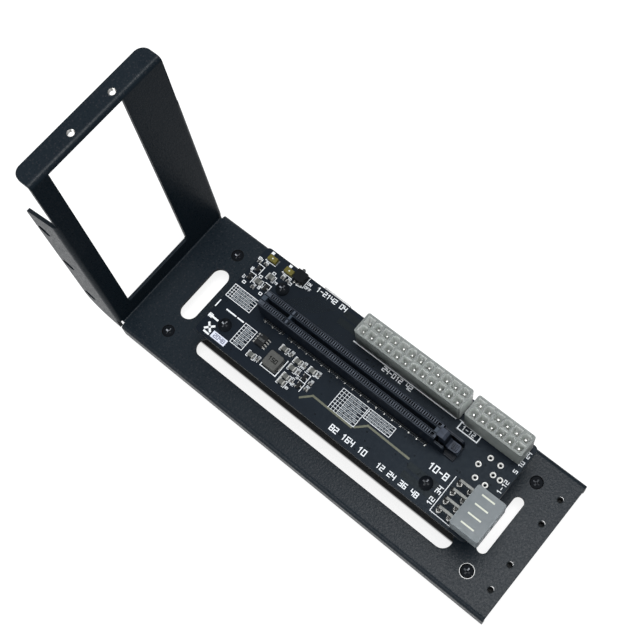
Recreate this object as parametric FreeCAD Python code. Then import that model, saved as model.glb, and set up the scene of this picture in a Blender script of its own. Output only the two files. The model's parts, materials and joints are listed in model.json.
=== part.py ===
"""Open graphics-card dock: a folded steel stand carrying a raised circuit board with a card slot.

Units are millimetres.  X runs from the upright to the free end, Y across the base plate, Z up.
The origin is the middle of the bounding box at table level.
"""
import FreeCAD, Part
import math
import os

V = FreeCAD.Vector

# Sheet metal of the chassis
sheet = 1.5                      # steel thickness
bend_inner = 0.5                 # inside radius of every fold
bend_outer = bend_inner + sheet
plate_length = 194.6             # from the upright's front face to the free end
plate_width = 67.6
plate_flange_depth = 9.0         # long edges folded down, measured from the plate's top
fold_relief = 0.9                # corner notch along X and Z at the ends of the upright's fold
fold_notch = 0.9                 # corner notch across the plate
upright_width = 64.4
window_left = -24.1              # window in the upright, across the plate
window_right = 12.5
window_sill = 9.1                # window's lower edge above the plate
window_corner = 1.0
top_flange_depth = 9.3           # ledge that a card's bracket is screwed to
top_flange_corner = 4.0
side_flange_depth = 17.8         # stiffening flanges behind the posts
side_flange_outset = 1.0         # how far they stand outside the posts' cut edges
side_flange_top = 92.0           # at the bend, above the plate
side_flange_slope = 5.5          # how far the top edge falls towards the free edge
side_flange_drop = 6.4           # below the plate
side_flange_top_corner = 1.2
side_flange_low_corner = 15.5
side_hole_bore = 6.0
side_hole_inset = 4.3            # from the free edge
side_hole_first = 12.5           # lowest hole above the plate
side_hole_pitch = 31.0
side_hole_count = 3

# Holes and slots in the plate and the top flange
cross_slot_length = 27.6
cross_slots = [(19.3, 8.2), (177.6, 4.6)]      # middle from the upright, width
long_slot_start = 32.3           # from the upright
long_slot_length = 135.1
long_slot_width = 8.5
long_slot_y = -18.1
foot_near = 18.5                 # foot screws, from the upright
foot_far = 178.4
foot_inset = 11.45               # from the plate's long edges
end_hole_x = 189.7               # row of tapped holes at the free end, from the upright
end_hole_bore = 2.5
bracket_pitch = 20.32            # spacing of expansion brackets
bracket_hole_bore = 3.0
bracket_hole_setback = 4.0       # behind the upright's front face
bracket_hole_offset = 4.5        # first bracket hole, across from the card slot

# Feet and fasteners
foot_height = 9.0
foot_top_radius = 7.5
foot_base_radius = 6.5
foot_edge = 1.0
insert_radius = 3.4
insert_length = 6.0
thread_radius = 1.45             # plain stand-in for a 3 mm thread
thread_bore = 1.5
screw_hole_radius = 1.7
flat_head_radius = 2.45
flat_head_sink = 0.2             # head's face below the plate
flat_head_angle_depth = flat_head_radius - thread_radius     # ninety-degree cone down to the shank
flat_screw_length = 7.0
pan_head_radius = 2.8
pan_head_height = 1.9
pan_screw_length = 7.0
cross_width = 0.75
cross_span = 2.9
cross_depth = 0.9
standoff_height = 20.0
standoff_across_flats = 5.5

# Circuit board
board_thickness = 1.6
board_length = 137.9
board_width = 46.3
board_corner = 2.0
board_setback = 35.3             # from the upright to the board's near edge
board_front = -18.1              # front edge across the plate
board_screws = [(9.4, 8.8), (17.5, 35.2), (112.9, 8.8)]      # from the board's near front corner
spare_holes = [(125.8, 31.9), (130.5, 31.9), (123.6, 27.2), (130.5, 27.2), (133.7, 27.2),
               (125.8, 22.2), (130.5, 22.2)]
spare_hole_radius = 0.7
bracket_seat = 100.4             # top flange above the board, set by the card standard

# Card slot
slot_pin_x = 20.3                # first contact from the board's near edge
slot_line_y = 25.4               # slot's middle from the board's front edge
contact_pitch = 1.0
contacts_before_key = 11
contacts_after_key = 71
key_gap = 3.0                    # between the contacts on either side of the key
slot_end = 3.0                   # housing beyond the first and last contact
slot_body_width = 7.5
slot_body_height = 11.25
slot_body_lift = 0.45            # under the housing, for the solder feet
groove_width = 1.9
groove_depth = 8.0
groove_end = 1.0                 # groove beyond the end contacts
contact_row = 2.3                # rows from the slot's middle
window_length = 1.5              # contact cavity across the slot
window_gap = 0.56                # contact cavity along the slot
contact_width = 0.32
contact_thick = 0.3
contact_top = 9.6                # above the board
contact_foot = 5.0               # foot's end from the slot's middle
end_pocket = 1.4                 # square pockets in the housing's latch end
end_pocket_setback = 1.0         # from the housing's end to a pocket's edge
end_pocket_depth = 3.0

# Retention latch at the slot's end
cheek_front_length = 4.6         # beyond the slot housing
cheek_back_length = 9.3
cheek_thick = 0.9
cheek_outer = 3.75               # from the slot's middle
cheek_height = 7.4
cheek_floor = 1.2
latch_width = 3.8                # narrower than the room between the cheeks
latch_pivot_x = 3.0              # beyond the slot housing
latch_pivot_z = 3.6              # above the board
latch_pin_radius = 0.8
latch_pin_gap = 0.15
latch_corner = 0.5
latch_tip_corner = 1.5
latch_root_half = 1.5            # lever's outline from here on, measured from the pivot
latch_root_drop = 1.7
latch_root_round = 1.3
pad_reach = 6.7                  # thumb pad
pad_under = 1.5
pad_top = 2.7
pad_root = 1.9
pad_root_rise = 0.7
pad_inner = 2.4
pad_inner_top = 2.3
stem_far = 1.2                   # stem's far side, low and high
stem_far_foot = 3.4
stem_far_head = 1.0
stem_shoulder = 8.4
stem_near = 1.9                  # stem's near side
stem_near_foot = 2.0
crown_lean = 0.6
crown_height = 9.4
nose_reach = 3.4                 # hook over the slot's end
nose_top = 8.9
nose_under = 8.1
nose_root = 2.1
nose_root_under = 7.9
trim_back = 4.0                  # block that rounds the lever's plan, behind and below the pivot
trim_height = 16.0

# Vertical power headers
pin_pitch = 4.2
header_width = 9.6
header_height = 12.8
header_wall = 2.7                # housing beyond the end pins
header_corner = 0.9
cell = 3.5
cell_floor = 3.2
cell_chamfer = 0.9               # keyed corners of every other cell
pin_side = 1.1
pin_hole_gap = 0.06
pin_top = 9.8                    # above the board
pin_tail = 1.6                   # below the board
pin_opening = 1.6                # side of the board's plated opening
latch_ramp_width = 5.0
latch_ramp_depth = 1.6
latch_ramp_low = 4.6
latch_ramp_high = 9.4
header_row_y = 38.9              # front row from the board's front edge
main_pin_x = 58.1                # first column from the board's near edge
main_columns = 12
aux_pin_x = 112.0
aux_columns = 6

# Right-angle power outlet
outlet_columns = 4
outlet_back = 129.5              # back face from the board's near edge
outlet_depth = 13.0
outlet_height = 9.6
outlet_middle = 10.2             # from the board's front edge
outlet_low_row = 2.7             # lower pin row above the board
outlet_low_tail = 1.7            # tails behind the back face
outlet_high_tail = 6.6
outlet_pin_tip = 3.2             # pin ends behind the mating face
outlet_ramp_height = 1.2         # under the housing, past the board's end
outlet_ramp_length = 2.6
outlet_ramp_setback = 1.2        # behind the mating face

# Link receptacle under the board
link_x = 36.8                    # middle from the board's near edge
link_width = 13.6
link_height = 4.4
link_depth = 12.4
link_overhang = 1.1              # past the board's back edge
link_shell = 0.3
link_tongue = 0.9
link_tongue_width = 10.4
link_tongue_depth = 7.6
link_contacts = 21
link_contact_pitch = 0.5
link_contact_width = 0.24
link_contact_thick = 0.1

# Small parts on the board, as (x, y) from the board's near front corner
part_lift = 0.1                  # moulded bodies stand this far above the board
chip_place = (25.7, 13.0)
chip_length = 4.9
chip_width = 3.9
chip_height = 1.5
chip_lead_pitch = 1.27
chip_lead_width = 0.42
chip_lead_reach = 1.05
chip_lead_thick = 0.2
inductor_place = (35.6, 9.1)
inductor_side = 6.8
inductor_height = 3.6
inductor_corner = 0.9
inductor_lip = 0.5               # terminal lip under the body
capacitor_places = [(35.2, 16.1), (26.2, 5.9), (42.9, 15.4), (42.9, 11.9), (43.2, 7.6), (43.2, 4.9),
                    (50.0, 16.0), (10.3, 36.2), (7.4, 31.6)]
capacitor_length = 2.9
capacitor_width = 2.0
capacitor_height = 1.3
capacitor_cap = 0.5
small_places = [(38.9, 16.0), (29.5, 5.9), (46.0, 15.6), (45.9, 11.9), (46.2, 7.6), (53.0, 16.0),
                (52.7, 11.4), (52.9, 8.6), (1.7, 38.8), (4.6, 39.4), (14.2, 39.2), (16.8, 39.2), (7.0, 28.4)]
small_length = 1.6
small_width = 0.9
small_height = 0.6
small_cap = 0.35
tantalum_places = [(5.8, 42.8), (14.8, 42.8)]
tantalum_length = 4.4
tantalum_width = 2.5
tantalum_height = 1.8
tantalum_foot = 0.3
tantalum_draft = 0.15
tantalum_tab_lap = 0.8           # tab under the body
tantalum_tab_width = 2.2
transistor_places = [(49.3, 12.0), (49.6, 8.2), (3.2, 31.4), (11.5, 31.4), (3.7, 36.1)]
transistor_length = 2.9
transistor_width = 1.3
transistor_height = 1.0
transistor_lead = 0.45
transistor_lead_offset = 0.95    # paired leads from the body's middle
transistor_reach = 0.55

# Slide switch at the board's back edge
switch_x = 20.4
switch_length = 5.0
switch_depth = 4.6
switch_height = 3.4
switch_inset = 0.4               # body's face behind the board's back edge
switch_wall = 0.6
switch_travel = 1.5
switch_gap = 0.3
knob_width = 1.2
knob_height = 1.4
knob_reach = 1.3                 # in front of the switch's face
slider_plate = 1.7
slider_thick = 0.9
switch_leg = 0.5
switch_leg_pitch = 1.5

# Places worked out from the sizes above
overall_length = plate_length + side_flange_depth
upright_x = -overall_length / 2 + side_flange_depth
plate_end_x = overall_length / 2
plate_z = foot_height + sheet
board_under = plate_z + standoff_height
board_z = board_under + board_thickness
flange_z = board_z + bracket_seat
board_x = upright_x + board_setback
board_y = board_front
board_back = board_y + board_width
slot_x = board_x + slot_pin_x
slot_y = board_y + slot_line_y
side_face = upright_width / 2 + side_flange_outset
foot_y = plate_width / 2 - foot_inset
bracket_x = upright_x - bracket_hole_setback
bracket_ys = [slot_y + bracket_hole_offset, slot_y + bracket_hole_offset - bracket_pitch]
end_hole_ys = [-foot_y, -bracket_pitch / 2, bracket_pitch / 2, foot_y]
foot_points = [(upright_x + x, y) for x in (foot_near, foot_far) for y in (-foot_y, foot_y)]
screw_points = [(board_x + x, board_y + y) for x, y in board_screws]
first_run = (contacts_before_key - 1) * contact_pitch
second_start = first_run + key_gap
second_run = (contacts_after_key - 1) * contact_pitch
last_contact = second_start + second_run
contact_xs = [slot_x + i * contact_pitch for i in range(contacts_before_key)]
contact_xs += [slot_x + second_start + i * contact_pitch for i in range(contacts_after_key)]
slot_x_end = slot_x + last_contact + slot_end


def block(x0, x1, y0, y1, z0, z1):
    """Box between two corners."""
    return Part.makeBox(x1 - x0, y1 - y0, z1 - z0, V(x0, y0, z0))


def rod(x, y, z0, z1, radius):
    """Upright cylinder."""
    return Part.makeCylinder(radius, z1 - z0, V(x, y, z0))


def rounded_face(corners, plane, level):
    """Flat face through corners (a, b, radius) of a plane, with each corner rounded by its radius."""
    place = {"XY": lambda a, b: V(a, b, level),
             "XZ": lambda a, b: V(a, level, b),
             "YZ": lambda a, b: V(level, a, b)}[plane]
    ends = []
    for i, (a, b, radius) in enumerate(corners):
        before, after = corners[i - 1], corners[(i + 1) % len(corners)]
        back = math.hypot(before[0] - a, before[1] - b)
        ahead = math.hypot(after[0] - a, after[1] - b)
        u = ((before[0] - a) / back, (before[1] - b) / back)
        w = ((after[0] - a) / ahead, (after[1] - b) / ahead)
        half = math.acos(max(-1.0, min(1.0, u[0] * w[0] + u[1] * w[1]))) / 2
        if radius <= 0:
            ends.append((place(a, b), None, place(a, b)))
            continue
        reach = radius / math.tan(half)
        lift = radius / math.sin(half) - radius
        size = math.hypot(u[0] + w[0], u[1] + w[1])
        middle = place(a + (u[0] + w[0]) / size * lift, b + (u[1] + w[1]) / size * lift)
        ends.append((place(a + u[0] * reach, b + u[1] * reach), middle,
                     place(a + w[0] * reach, b + w[1] * reach)))
    edges = []
    for i, (start, middle, finish) in enumerate(ends):
        if middle is not None:
            edges.append(Part.Arc(start, middle, finish).toShape())
        following = ends[(i + 1) % len(ends)][0]
        if finish.distanceToPoint(following) > 1e-6:
            edges.append(Part.LineSegment(finish, following).toShape())
    return Part.Face(Part.Wire(edges))


def prism(corners, plane, start, length):
    """Rounded outline pushed along the axis that its plane leaves free."""
    along = {"XY": V(0, 0, length), "XZ": V(0, length, 0), "YZ": V(length, 0, 0)}[plane]
    return rounded_face(corners, plane, start).extrude(along)


def rounded_block(x0, x1, y0, y1, z0, z1, radius):
    """Box with its four upright edges rounded."""
    corners = [(x0, y0, radius), (x1, y0, radius), (x1, y1, radius), (x0, y1, radius)]
    return prism(corners, "XY", z0, z1 - z0)


def obround(x, y, z0, z1, length, width, along_x):
    """Round-ended slot cutter with its middle at x, y."""
    half_x, half_y = (length / 2, width / 2) if along_x else (width / 2, length / 2)
    round_end = width / 2 - 0.001
    return rounded_block(x - half_x, x + half_x, y - half_y, y + half_y, z0, z1, round_end)


def cut_all(shape, tools):
    """Cut many tools at once."""
    return shape.cut(Part.makeCompound(tools))


def fuse_all(shapes):
    """Fuse a list into one clean solid."""
    return shapes[0].fuse(shapes[1:]).removeSplitter()


def write(name, shape):
    """Save one node."""
    shape.exportStep(os.path.join("parts", name + ".step"))


def plate_channel():
    """Base plate with both long edges folded down."""
    half = plate_width / 2
    low = plate_z - plate_flange_depth
    corners = [(-half, low, 0), (-half, plate_z, bend_outer), (half, plate_z, bend_outer), (half, low, 0),
               (half - sheet, low, 0), (half - sheet, plate_z - sheet, bend_inner),
               (-half + sheet, plate_z - sheet, bend_inner), (-half + sheet, low, 0)]
    return prism(corners, "YZ", upright_x + fold_relief, plate_length - fold_relief)


def upright_sheet():
    """Upright folded up from the plate, with its top folded outwards and its window cut."""
    x = upright_x
    corners = [(x + fold_relief, plate_z, 0), (x, plate_z, bend_inner), (x, flange_z, bend_outer),
               (x - top_flange_depth, flange_z, 0), (x - top_flange_depth, flange_z - sheet, 0),
               (x - sheet, flange_z - sheet, bend_inner), (x - sheet, plate_z - sheet, bend_outer),
               (x + fold_relief, plate_z - sheet, 0)]
    half = upright_width / 2
    body = prism(corners, "XZ", -half, upright_width)
    outline = [(x - top_flange_depth, -half, top_flange_corner), (x + fold_relief, -half, 0),
               (x + fold_relief, half, 0), (x - top_flange_depth, half, top_flange_corner)]
    body = body.common(prism(outline, "XY", plate_z - sheet, flange_z))
    sill, lintel = plate_z + window_sill, flange_z - bend_outer
    window = [(window_left, sill, window_corner), (window_right, sill, window_corner),
              (window_right, lintel, 0), (window_left, lintel, 0)]
    cutters = [prism(window, "YZ", x - 2 * sheet, 3 * sheet)]
    for side in (-1, 1):
        inner, outer = sorted((side * (half - fold_notch), side * (half + 1)))
        cutters.append(block(x - 2 * sheet, x + fold_relief, inner, outer,
                             plate_z - 2 * sheet, plate_z + fold_relief))
        inner, outer = sorted((side * (side_face - bend_outer), side * (half + 1)))
        cutters.append(block(x - 2 * sheet, x + sheet, inner, outer, plate_z, plate_z + side_flange_top))
    return cut_all(body, cutters)


def side_flange(side):
    """Flange folded back from one post, with its bend and its row of holes."""
    x, face, base = upright_x, side * side_face, plate_z
    inner = side * (side_face - sheet)
    tangent = side * (side_face - bend_outer)
    bend = [(x, tangent, 0), (x, face, bend_outer), (x - bend_outer, face, 0),
            (x - bend_outer, inner, 0), (x - sheet, inner, bend_inner), (x - sheet, tangent, 0)]
    low = base + fold_relief
    fold = prism(bend, "XY", low, base + side_flange_top - low)
    free = x - side_flange_depth
    leaf = [(x - bend_outer, base - side_flange_drop, 0), (x - bend_outer, base + side_flange_top, 0),
            (free, base + side_flange_top - side_flange_slope, side_flange_top_corner),
            (free, base - side_flange_drop, side_flange_low_corner)]
    leaf = prism(leaf, "XZ", min(face, inner), sheet)
    holes = []
    for i in range(side_hole_count):
        z = base + side_hole_first + i * side_hole_pitch
        start = V(free + side_hole_inset, min(face, inner) - 1, z)
        holes.append(Part.makeCylinder(side_hole_bore / 2, sheet + 2, start, V(0, 1, 0)))
    return [fold, cut_all(leaf, holes)]


def chassis():
    """The whole folded sheet with its slots and holes."""
    body = fuse_all([plate_channel(), upright_sheet()] + side_flange(-1) + side_flange(1))
    z0, z1 = plate_z - sheet - 1, plate_z + 1
    cutters = [obround(upright_x + x, 0, z0, z1, cross_slot_length, width, False)
               for x, width in cross_slots]
    long_middle = upright_x + long_slot_start + long_slot_length / 2
    cutters.append(obround(long_middle, long_slot_y, z0, z1, long_slot_length, long_slot_width, True))
    for x, y in foot_points:
        depth = flat_head_angle_depth + flat_head_sink
        wide = flat_head_radius + flat_head_sink
        cutters.append(Part.makeCone(wide - depth, wide, depth, V(x, y, plate_z - depth)))
        cutters.append(rod(x, y, z0, z1, thread_bore))
    cutters += [rod(x, y, z0, z1, screw_hole_radius) for x, y in screw_points]
    cutters += [rod(upright_x + end_hole_x, y, z0, z1, end_hole_bore / 2) for y in end_hole_ys]
    cutters += [rod(bracket_x, y, flange_z - sheet - 1, flange_z + 1, bracket_hole_bore / 2)
                for y in bracket_ys]
    return cut_all(body, cutters)


def cross_recess(x, y, top, down):
    """Cutter for a cross-head drive; down is -1 for a head seen from above and 1 from below."""
    z0, z1 = sorted((top + down * cross_depth, top - down * 0.5))
    arm = block(x - cross_span / 2, x + cross_span / 2, y - cross_width / 2, y + cross_width / 2, z0, z1)
    other = block(x - cross_width / 2, x + cross_width / 2, y - cross_span / 2, y + cross_span / 2, z0, z1)
    return arm.fuse(other)


def flat_screw(x, y):
    """Countersunk screw, its face just below the plate's."""
    top = plate_z - flat_head_sink
    low = top - flat_head_angle_depth
    head = Part.makeCone(flat_head_radius - flat_head_angle_depth, flat_head_radius,
                         flat_head_angle_depth, V(x, y, low))
    shank = rod(x, y, top - flat_screw_length, low, thread_radius)
    return head.fuse(shank).cut(cross_recess(x, y, top, -1))


def pan_screw(x, y, seat, up):
    """Domed screw whose head stands on the seat, upwards or downwards."""
    dome = pan_head_height * 0.45
    points = [V(0, 0, -pan_screw_length), V(thread_radius, 0, -pan_screw_length), V(thread_radius, 0, 0),
              V(pan_head_radius, 0, 0), V(pan_head_radius, 0, pan_head_height - dome)]
    shoulder, crown = points[-1], V(0, 0, pan_head_height)
    bulge = V(pan_head_radius * 0.62, 0, pan_head_height - dome * 0.3)
    edges = [Part.LineSegment(a, b).toShape() for a, b in zip(points, points[1:])]
    edges.append(Part.Arc(shoulder, bulge, crown).toShape())
    edges.append(Part.LineSegment(crown, points[0]).toShape())
    screw = Part.Face(Part.Wire(edges)).revolve(V(0, 0, 0), V(0, 0, 1), 360)
    screw = screw.cut(cross_recess(0, 0, pan_head_height, -1))
    if not up:
        screw.rotate(V(0, 0, 0), V(1, 0, 0), 180)
    screw.translate(V(x, y, seat))
    return screw


def foot(x, y):
    """Tapered rubber foot with a pocket for its threaded insert."""
    outline = [(0, 0, 0), (foot_base_radius - foot_edge, 0, 0), (foot_base_radius, foot_edge, 0),
               (foot_top_radius, foot_height, 0),
               (insert_radius, foot_height, 0), (insert_radius, foot_height - insert_length, 0),
               (0, foot_height - insert_length, 0)]
    shape = rounded_face(outline, "XZ", 0).revolve(V(0, 0, 0), V(0, 0, 1), 360)
    shape.translate(V(x, y, 0))
    return shape


def foot_insert(x, y):
    """Brass insert moulded into a foot."""
    barrel = rod(x, y, foot_height - insert_length, foot_height, insert_radius)
    return barrel.cut(rod(x, y, foot_height - insert_length, foot_height, thread_bore))


def standoff(x, y):
    """Hexagonal spacer with a through thread."""
    radius = standoff_across_flats / math.sqrt(3)
    corners = [(x + radius * math.cos(math.radians(60 * i)), y + radius * math.sin(math.radians(60 * i)), 0)
               for i in range(6)]
    body = prism(corners, "XY", plate_z, standoff_height)
    return body.cut(rod(x, y, plate_z, board_under, thread_bore))


def circuit_board():
    """Board with rounded corners, screw holes and plated holes."""
    body = rounded_block(board_x, board_x + board_length, board_y, board_back,
                         board_under, board_z, board_corner)
    z0, z1 = board_under - 1, board_z + 1
    holes = [rod(x, y, z0, z1, screw_hole_radius) for x, y in screw_points]
    holes += [rod(board_x + x, board_y + y, z0, z1, spare_hole_radius) for x, y in spare_holes]
    pins = header_pins(main_pin_x, main_columns) + header_pins(aux_pin_x, aux_columns)
    tails = (outlet_low_tail, outlet_high_tail)
    pins += [(board_x + outlet_back - tail, y) for y in outlet_ys() for tail in tails]
    h = pin_opening / 2
    holes += [block(x - h, x + h, y - h, y + h, z0, z1) for x, y in pins]
    return cut_all(body, holes)


def slot_housing():
    """Slot moulding with card groove, contact cavities, end feet and latch cheeks."""
    half = slot_body_width / 2
    x0, x1 = slot_x - slot_end, slot_x_end
    low, top = board_z + slot_body_lift, board_z + slot_body_height
    edge = 0.6
    section = [(slot_y - half, low, 0), (slot_y - half, top, edge), (slot_y + half, top, edge),
               (slot_y + half, low, 0)]
    pieces = [prism(section, "YZ", x0, x1 - x0)]
    for start in (x0, x1 - slot_end / 2):
        pieces.append(block(start, start + slot_end / 2, slot_y - half, slot_y + half, board_z, low + 1))
    pieces.append(block(x1 - 1, x1 + cheek_back_length, slot_y - cheek_outer, slot_y + cheek_outer,
                        board_z, board_z + cheek_floor))
    for side, length in ((-1, cheek_front_length), (1, cheek_back_length)):
        y0, y1 = sorted((slot_y + side * cheek_outer, slot_y + side * (cheek_outer - cheek_thick)))
        outline = [(x1 - 1, board_z, 0), (x1 + length, board_z, 0),
                   (x1 + length, board_z + cheek_height, 1.2),
                   (x1 - 1, board_z + cheek_height, 0)]
        pieces.append(prism(outline, "XZ", y0, y1 - y0))
    body = fuse_all(pieces)
    grooves = [(slot_x - groove_end, slot_x + first_run + groove_end),
               (slot_x + second_start - groove_end, slot_x + last_contact + groove_end)]
    cutters = [block(a, b, slot_y - groove_width / 2, slot_y + groove_width / 2, top - groove_depth, top + 1)
               for a, b in grooves]
    for x in contact_xs:
        for side in (-1, 1):
            y = slot_y + side * contact_row
            cutters.append(block(x - window_gap / 2, x + window_gap / 2, y - window_length / 2,
                                 y + window_length / 2, low - 1, top + 1))
    for side in (-1, 1):
        y = slot_y + side * contact_row
        pocket_end = x1 - end_pocket_setback
        cutters.append(block(pocket_end - end_pocket, pocket_end, y - end_pocket / 2, y + end_pocket / 2,
                             top - end_pocket_depth, top + 1))
    pin = latch_pin_radius + latch_pin_gap
    cutters.append(Part.makeCylinder(pin, 2 * cheek_outer + 2, latch_pivot() - V(0, cheek_outer + 1, 0),
                                     V(0, 1, 0)))
    return cut_all(body, cutters)


def slot_contacts():
    """One bent contact in every cavity, with its solder foot on the board."""
    solids = []
    for x in contact_xs:
        for side in (-1, 1):
            near = slot_y + side * (contact_row - contact_thick / 2)
            far = slot_y + side * (contact_row + contact_thick / 2)
            foot_end = slot_y + side * contact_foot
            outline = [(near, board_z, 0), (foot_end, board_z, 0), (foot_end, board_z + contact_thick, 0),
                       (far, board_z + contact_thick, 0), (far, board_z + contact_top, 0),
                       (near, board_z + contact_top, 0)]
            solids.append(prism(outline, "YZ", x - contact_width / 2, contact_width))
    return Part.makeCompound(solids)


def latch_pivot():
    """Point on the latch's axis, in the slot's middle plane."""
    return V(slot_x_end + latch_pivot_x, slot_y, board_z + latch_pivot_z)


def slot_latch():
    """Hooked lever between the cheeks: nose over the slot's end, thumb pad behind, two pivot pins."""
    half = latch_width / 2
    pivot = latch_pivot()
    root = [(-latch_root_half, -latch_root_drop, latch_root_round),
            (latch_root_half, -latch_root_drop, latch_root_round)]
    pad = [(pad_root, pad_root_rise, 0.5), (pad_reach, pad_under, 0.3), (pad_reach, pad_top, 0.5),
           (pad_inner, pad_inner_top, 0.4)]
    stem = [(stem_far, stem_far_foot, 0.6), (stem_far_head, stem_shoulder, 0.8),
            (-crown_lean, crown_height, 0.8)]
    nose = [(-nose_reach, nose_top, 0.3), (-nose_reach, nose_under, 0.2),
            (-nose_root, nose_root_under, 0.3)]
    profile = root + pad + stem + nose + [(-stem_near, stem_near_foot, 0.6)]
    corners = [(pivot.x + a, pivot.z + b, r) for a, b, r in profile]
    body = prism(corners, "XZ", slot_y - half, 2 * half)
    back = pivot.x - trim_back
    tip = pivot.x + pad_reach
    plan = [(back, slot_y - half, latch_corner), (tip, slot_y - half, latch_tip_corner),
            (tip, slot_y + half, latch_tip_corner), (back, slot_y + half, latch_corner)]
    body = body.common(prism(plan, "XY", pivot.z - trim_back, trim_height))
    reach = cheek_outer - 0.1
    pin = Part.makeCylinder(latch_pin_radius, 2 * reach, pivot - V(0, reach, 0), V(0, 1, 0))
    return body.fuse(pin).removeSplitter()


def header_pins(first_x, columns):
    """Pin positions of a two-row vertical header."""
    return [(board_x + first_x + i * pin_pitch, board_y + header_row_y + row * pin_pitch)
            for row in (0, 1) for i in range(columns)]


def cell_outline(a, b, keyed):
    """Square cell, with two corners chamfered where it is keyed."""
    h, c = cell / 2, cell_chamfer
    if not keyed:
        return [(a - h, b - h, 0), (a + h, b - h, 0), (a + h, b + h, 0), (a - h, b + h, 0)]
    return [(a - h, b - h, 0), (a + h, b - h, 0), (a + h, b + h - c, 0), (a + h - c, b + h, 0),
            (a - h + c, b + h, 0), (a - h, b + h - c, 0)]


def power_header(first_x, columns):
    """Vertical power header: two rows of open cells and a latch ramp on the back face."""
    x0 = board_x + first_x - header_wall
    x1 = board_x + first_x + (columns - 1) * pin_pitch + header_wall
    middle = board_y + header_row_y + pin_pitch / 2
    y0, y1 = middle - header_width / 2, middle + header_width / 2
    body = rounded_block(x0, x1, y0, y1, board_z, board_z + header_height, header_corner)
    centre = (x0 + x1) / 2
    ramp = [(y1 - 0.1, board_z + latch_ramp_low, 0), (y1 - 0.1, board_z + latch_ramp_high, 0),
            (y1 + latch_ramp_depth, board_z + latch_ramp_low + 0.8, 0.2),
            (y1 + latch_ramp_depth, board_z + latch_ramp_low, 0.2)]
    ramp = prism(ramp, "YZ", centre - latch_ramp_width / 2, latch_ramp_width)
    body = body.fuse(ramp).removeSplitter()
    hole = pin_side / 2 + pin_hole_gap
    cutters = []
    for i, (x, y) in enumerate(header_pins(first_x, columns)):
        keyed = (i + i // columns) % 2 == 0
        cutters.append(prism(cell_outline(x, y, keyed), "XY", board_z + cell_floor, header_height))
        cutters.append(block(x - hole, x + hole, y - hole, y + hole, board_z - 1, board_z + cell_floor + 1))
    return cut_all(body, cutters)


def straight_pin(x, y):
    """Square pin with a tapered tip, passing through the board."""
    h, taper = pin_side / 2, 0.8
    low, top = board_under - pin_tail, board_z + pin_top
    shaft = block(x - h, x + h, y - h, y + h, low, top - taper)
    tip_low = Part.makePolygon([V(x - h, y - h, top - taper), V(x + h, y - h, top - taper),
                                V(x + h, y + h, top - taper), V(x - h, y + h, top - taper),
                                V(x - h, y - h, top - taper)])
    q = h * 0.5
    tip_top = Part.makePolygon([V(x - q, y - q, top), V(x + q, y - q, top), V(x + q, y + q, top),
                                V(x - q, y + q, top), V(x - q, y - q, top)])
    return shaft.fuse(Part.makeLoft([tip_low, tip_top], True, True)).removeSplitter()


def outlet_ys():
    """Columns of the right-angle outlet across the board."""
    first = board_y + outlet_middle - (outlet_columns - 1) * pin_pitch / 2
    return [first + i * pin_pitch for i in range(outlet_columns)]


def outlet_housing():
    """Right-angle outlet with its cells open towards the free end."""
    back = board_x + outlet_back
    face = back + outlet_depth
    half = (outlet_columns - 1) * pin_pitch / 2 + header_wall
    middle = board_y + outlet_middle
    body = rounded_block(back, face, middle - half, middle + half, board_z, board_z + outlet_height,
                         header_corner)
    start, end = face - outlet_ramp_setback, face - outlet_ramp_setback - outlet_ramp_length
    ramp = [(end, board_z + 0.1, 0), (start, board_z + 0.1, 0),
            (end + 0.4, board_z - outlet_ramp_height, 0.1), (end, board_z - outlet_ramp_height, 0.1)]
    ramp = prism(ramp, "XZ", middle - latch_ramp_width / 2, latch_ramp_width)
    body = body.fuse(ramp).removeSplitter()
    hole = pin_side / 2 + pin_hole_gap
    cutters = []
    for i, y in enumerate(outlet_ys()):
        for row in (0, 1):
            z = board_z + outlet_low_row + row * pin_pitch
            keyed = (i + row) % 2 == 0
            cutters.append(prism(cell_outline(y, z, keyed), "YZ", back + cell_floor, outlet_depth))
            cutters.append(block(back - 1, back + cell_floor + 1, y - hole, y + hole, z - hole, z + hole))
    return cut_all(body, cutters)


def bent_pin(y, z, tail):
    """Square pin that leaves the outlet's back and turns down through the board."""
    back = board_x + outlet_back
    tip = back + outlet_depth - outlet_pin_tip
    x = back - tail
    h = pin_side / 2
    outline = [(x - h, board_under - pin_tail, 0), (x + h, board_under - pin_tail, 0), (x + h, z - h, 0.2),
               (tip, z - h, 0), (tip, z + h, 0), (x - h, z + h, 0.9)]
    return prism(outline, "XZ", y - h, pin_side)


def outlet_pins():
    """Both rows of bent pins."""
    rows = [(outlet_low_row, outlet_low_tail), (outlet_low_row + pin_pitch, outlet_high_tail)]
    return Part.makeCompound([bent_pin(y, board_z + z, tail) for y in outlet_ys() for z, tail in rows])


def link_box():
    """Receptacle's extent under the board: x0, x1, back, mouth, low, top."""
    x = board_x + link_x
    mouth = board_back + link_overhang
    return (x - link_width / 2, x + link_width / 2, mouth - link_depth, mouth,
            board_under - link_height, board_under)


def link_shell_can():
    """Folded metal can, open at its mouth."""
    x0, x1, back, mouth, low, top = link_box()
    can = prism([(x0, low, 0.8), (x1, low, 0.8), (x1, top, 0.4), (x0, top, 0.4)], "XZ", back, mouth - back)
    t = link_shell
    inside = prism([(x0 + t, low + t, 0.5), (x1 - t, low + t, 0.5), (x1 - t, top - t, 0.3),
                    (x0 + t, top - t, 0.3)], "XZ", back + t, mouth - back)
    return can.cut(inside)


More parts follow.
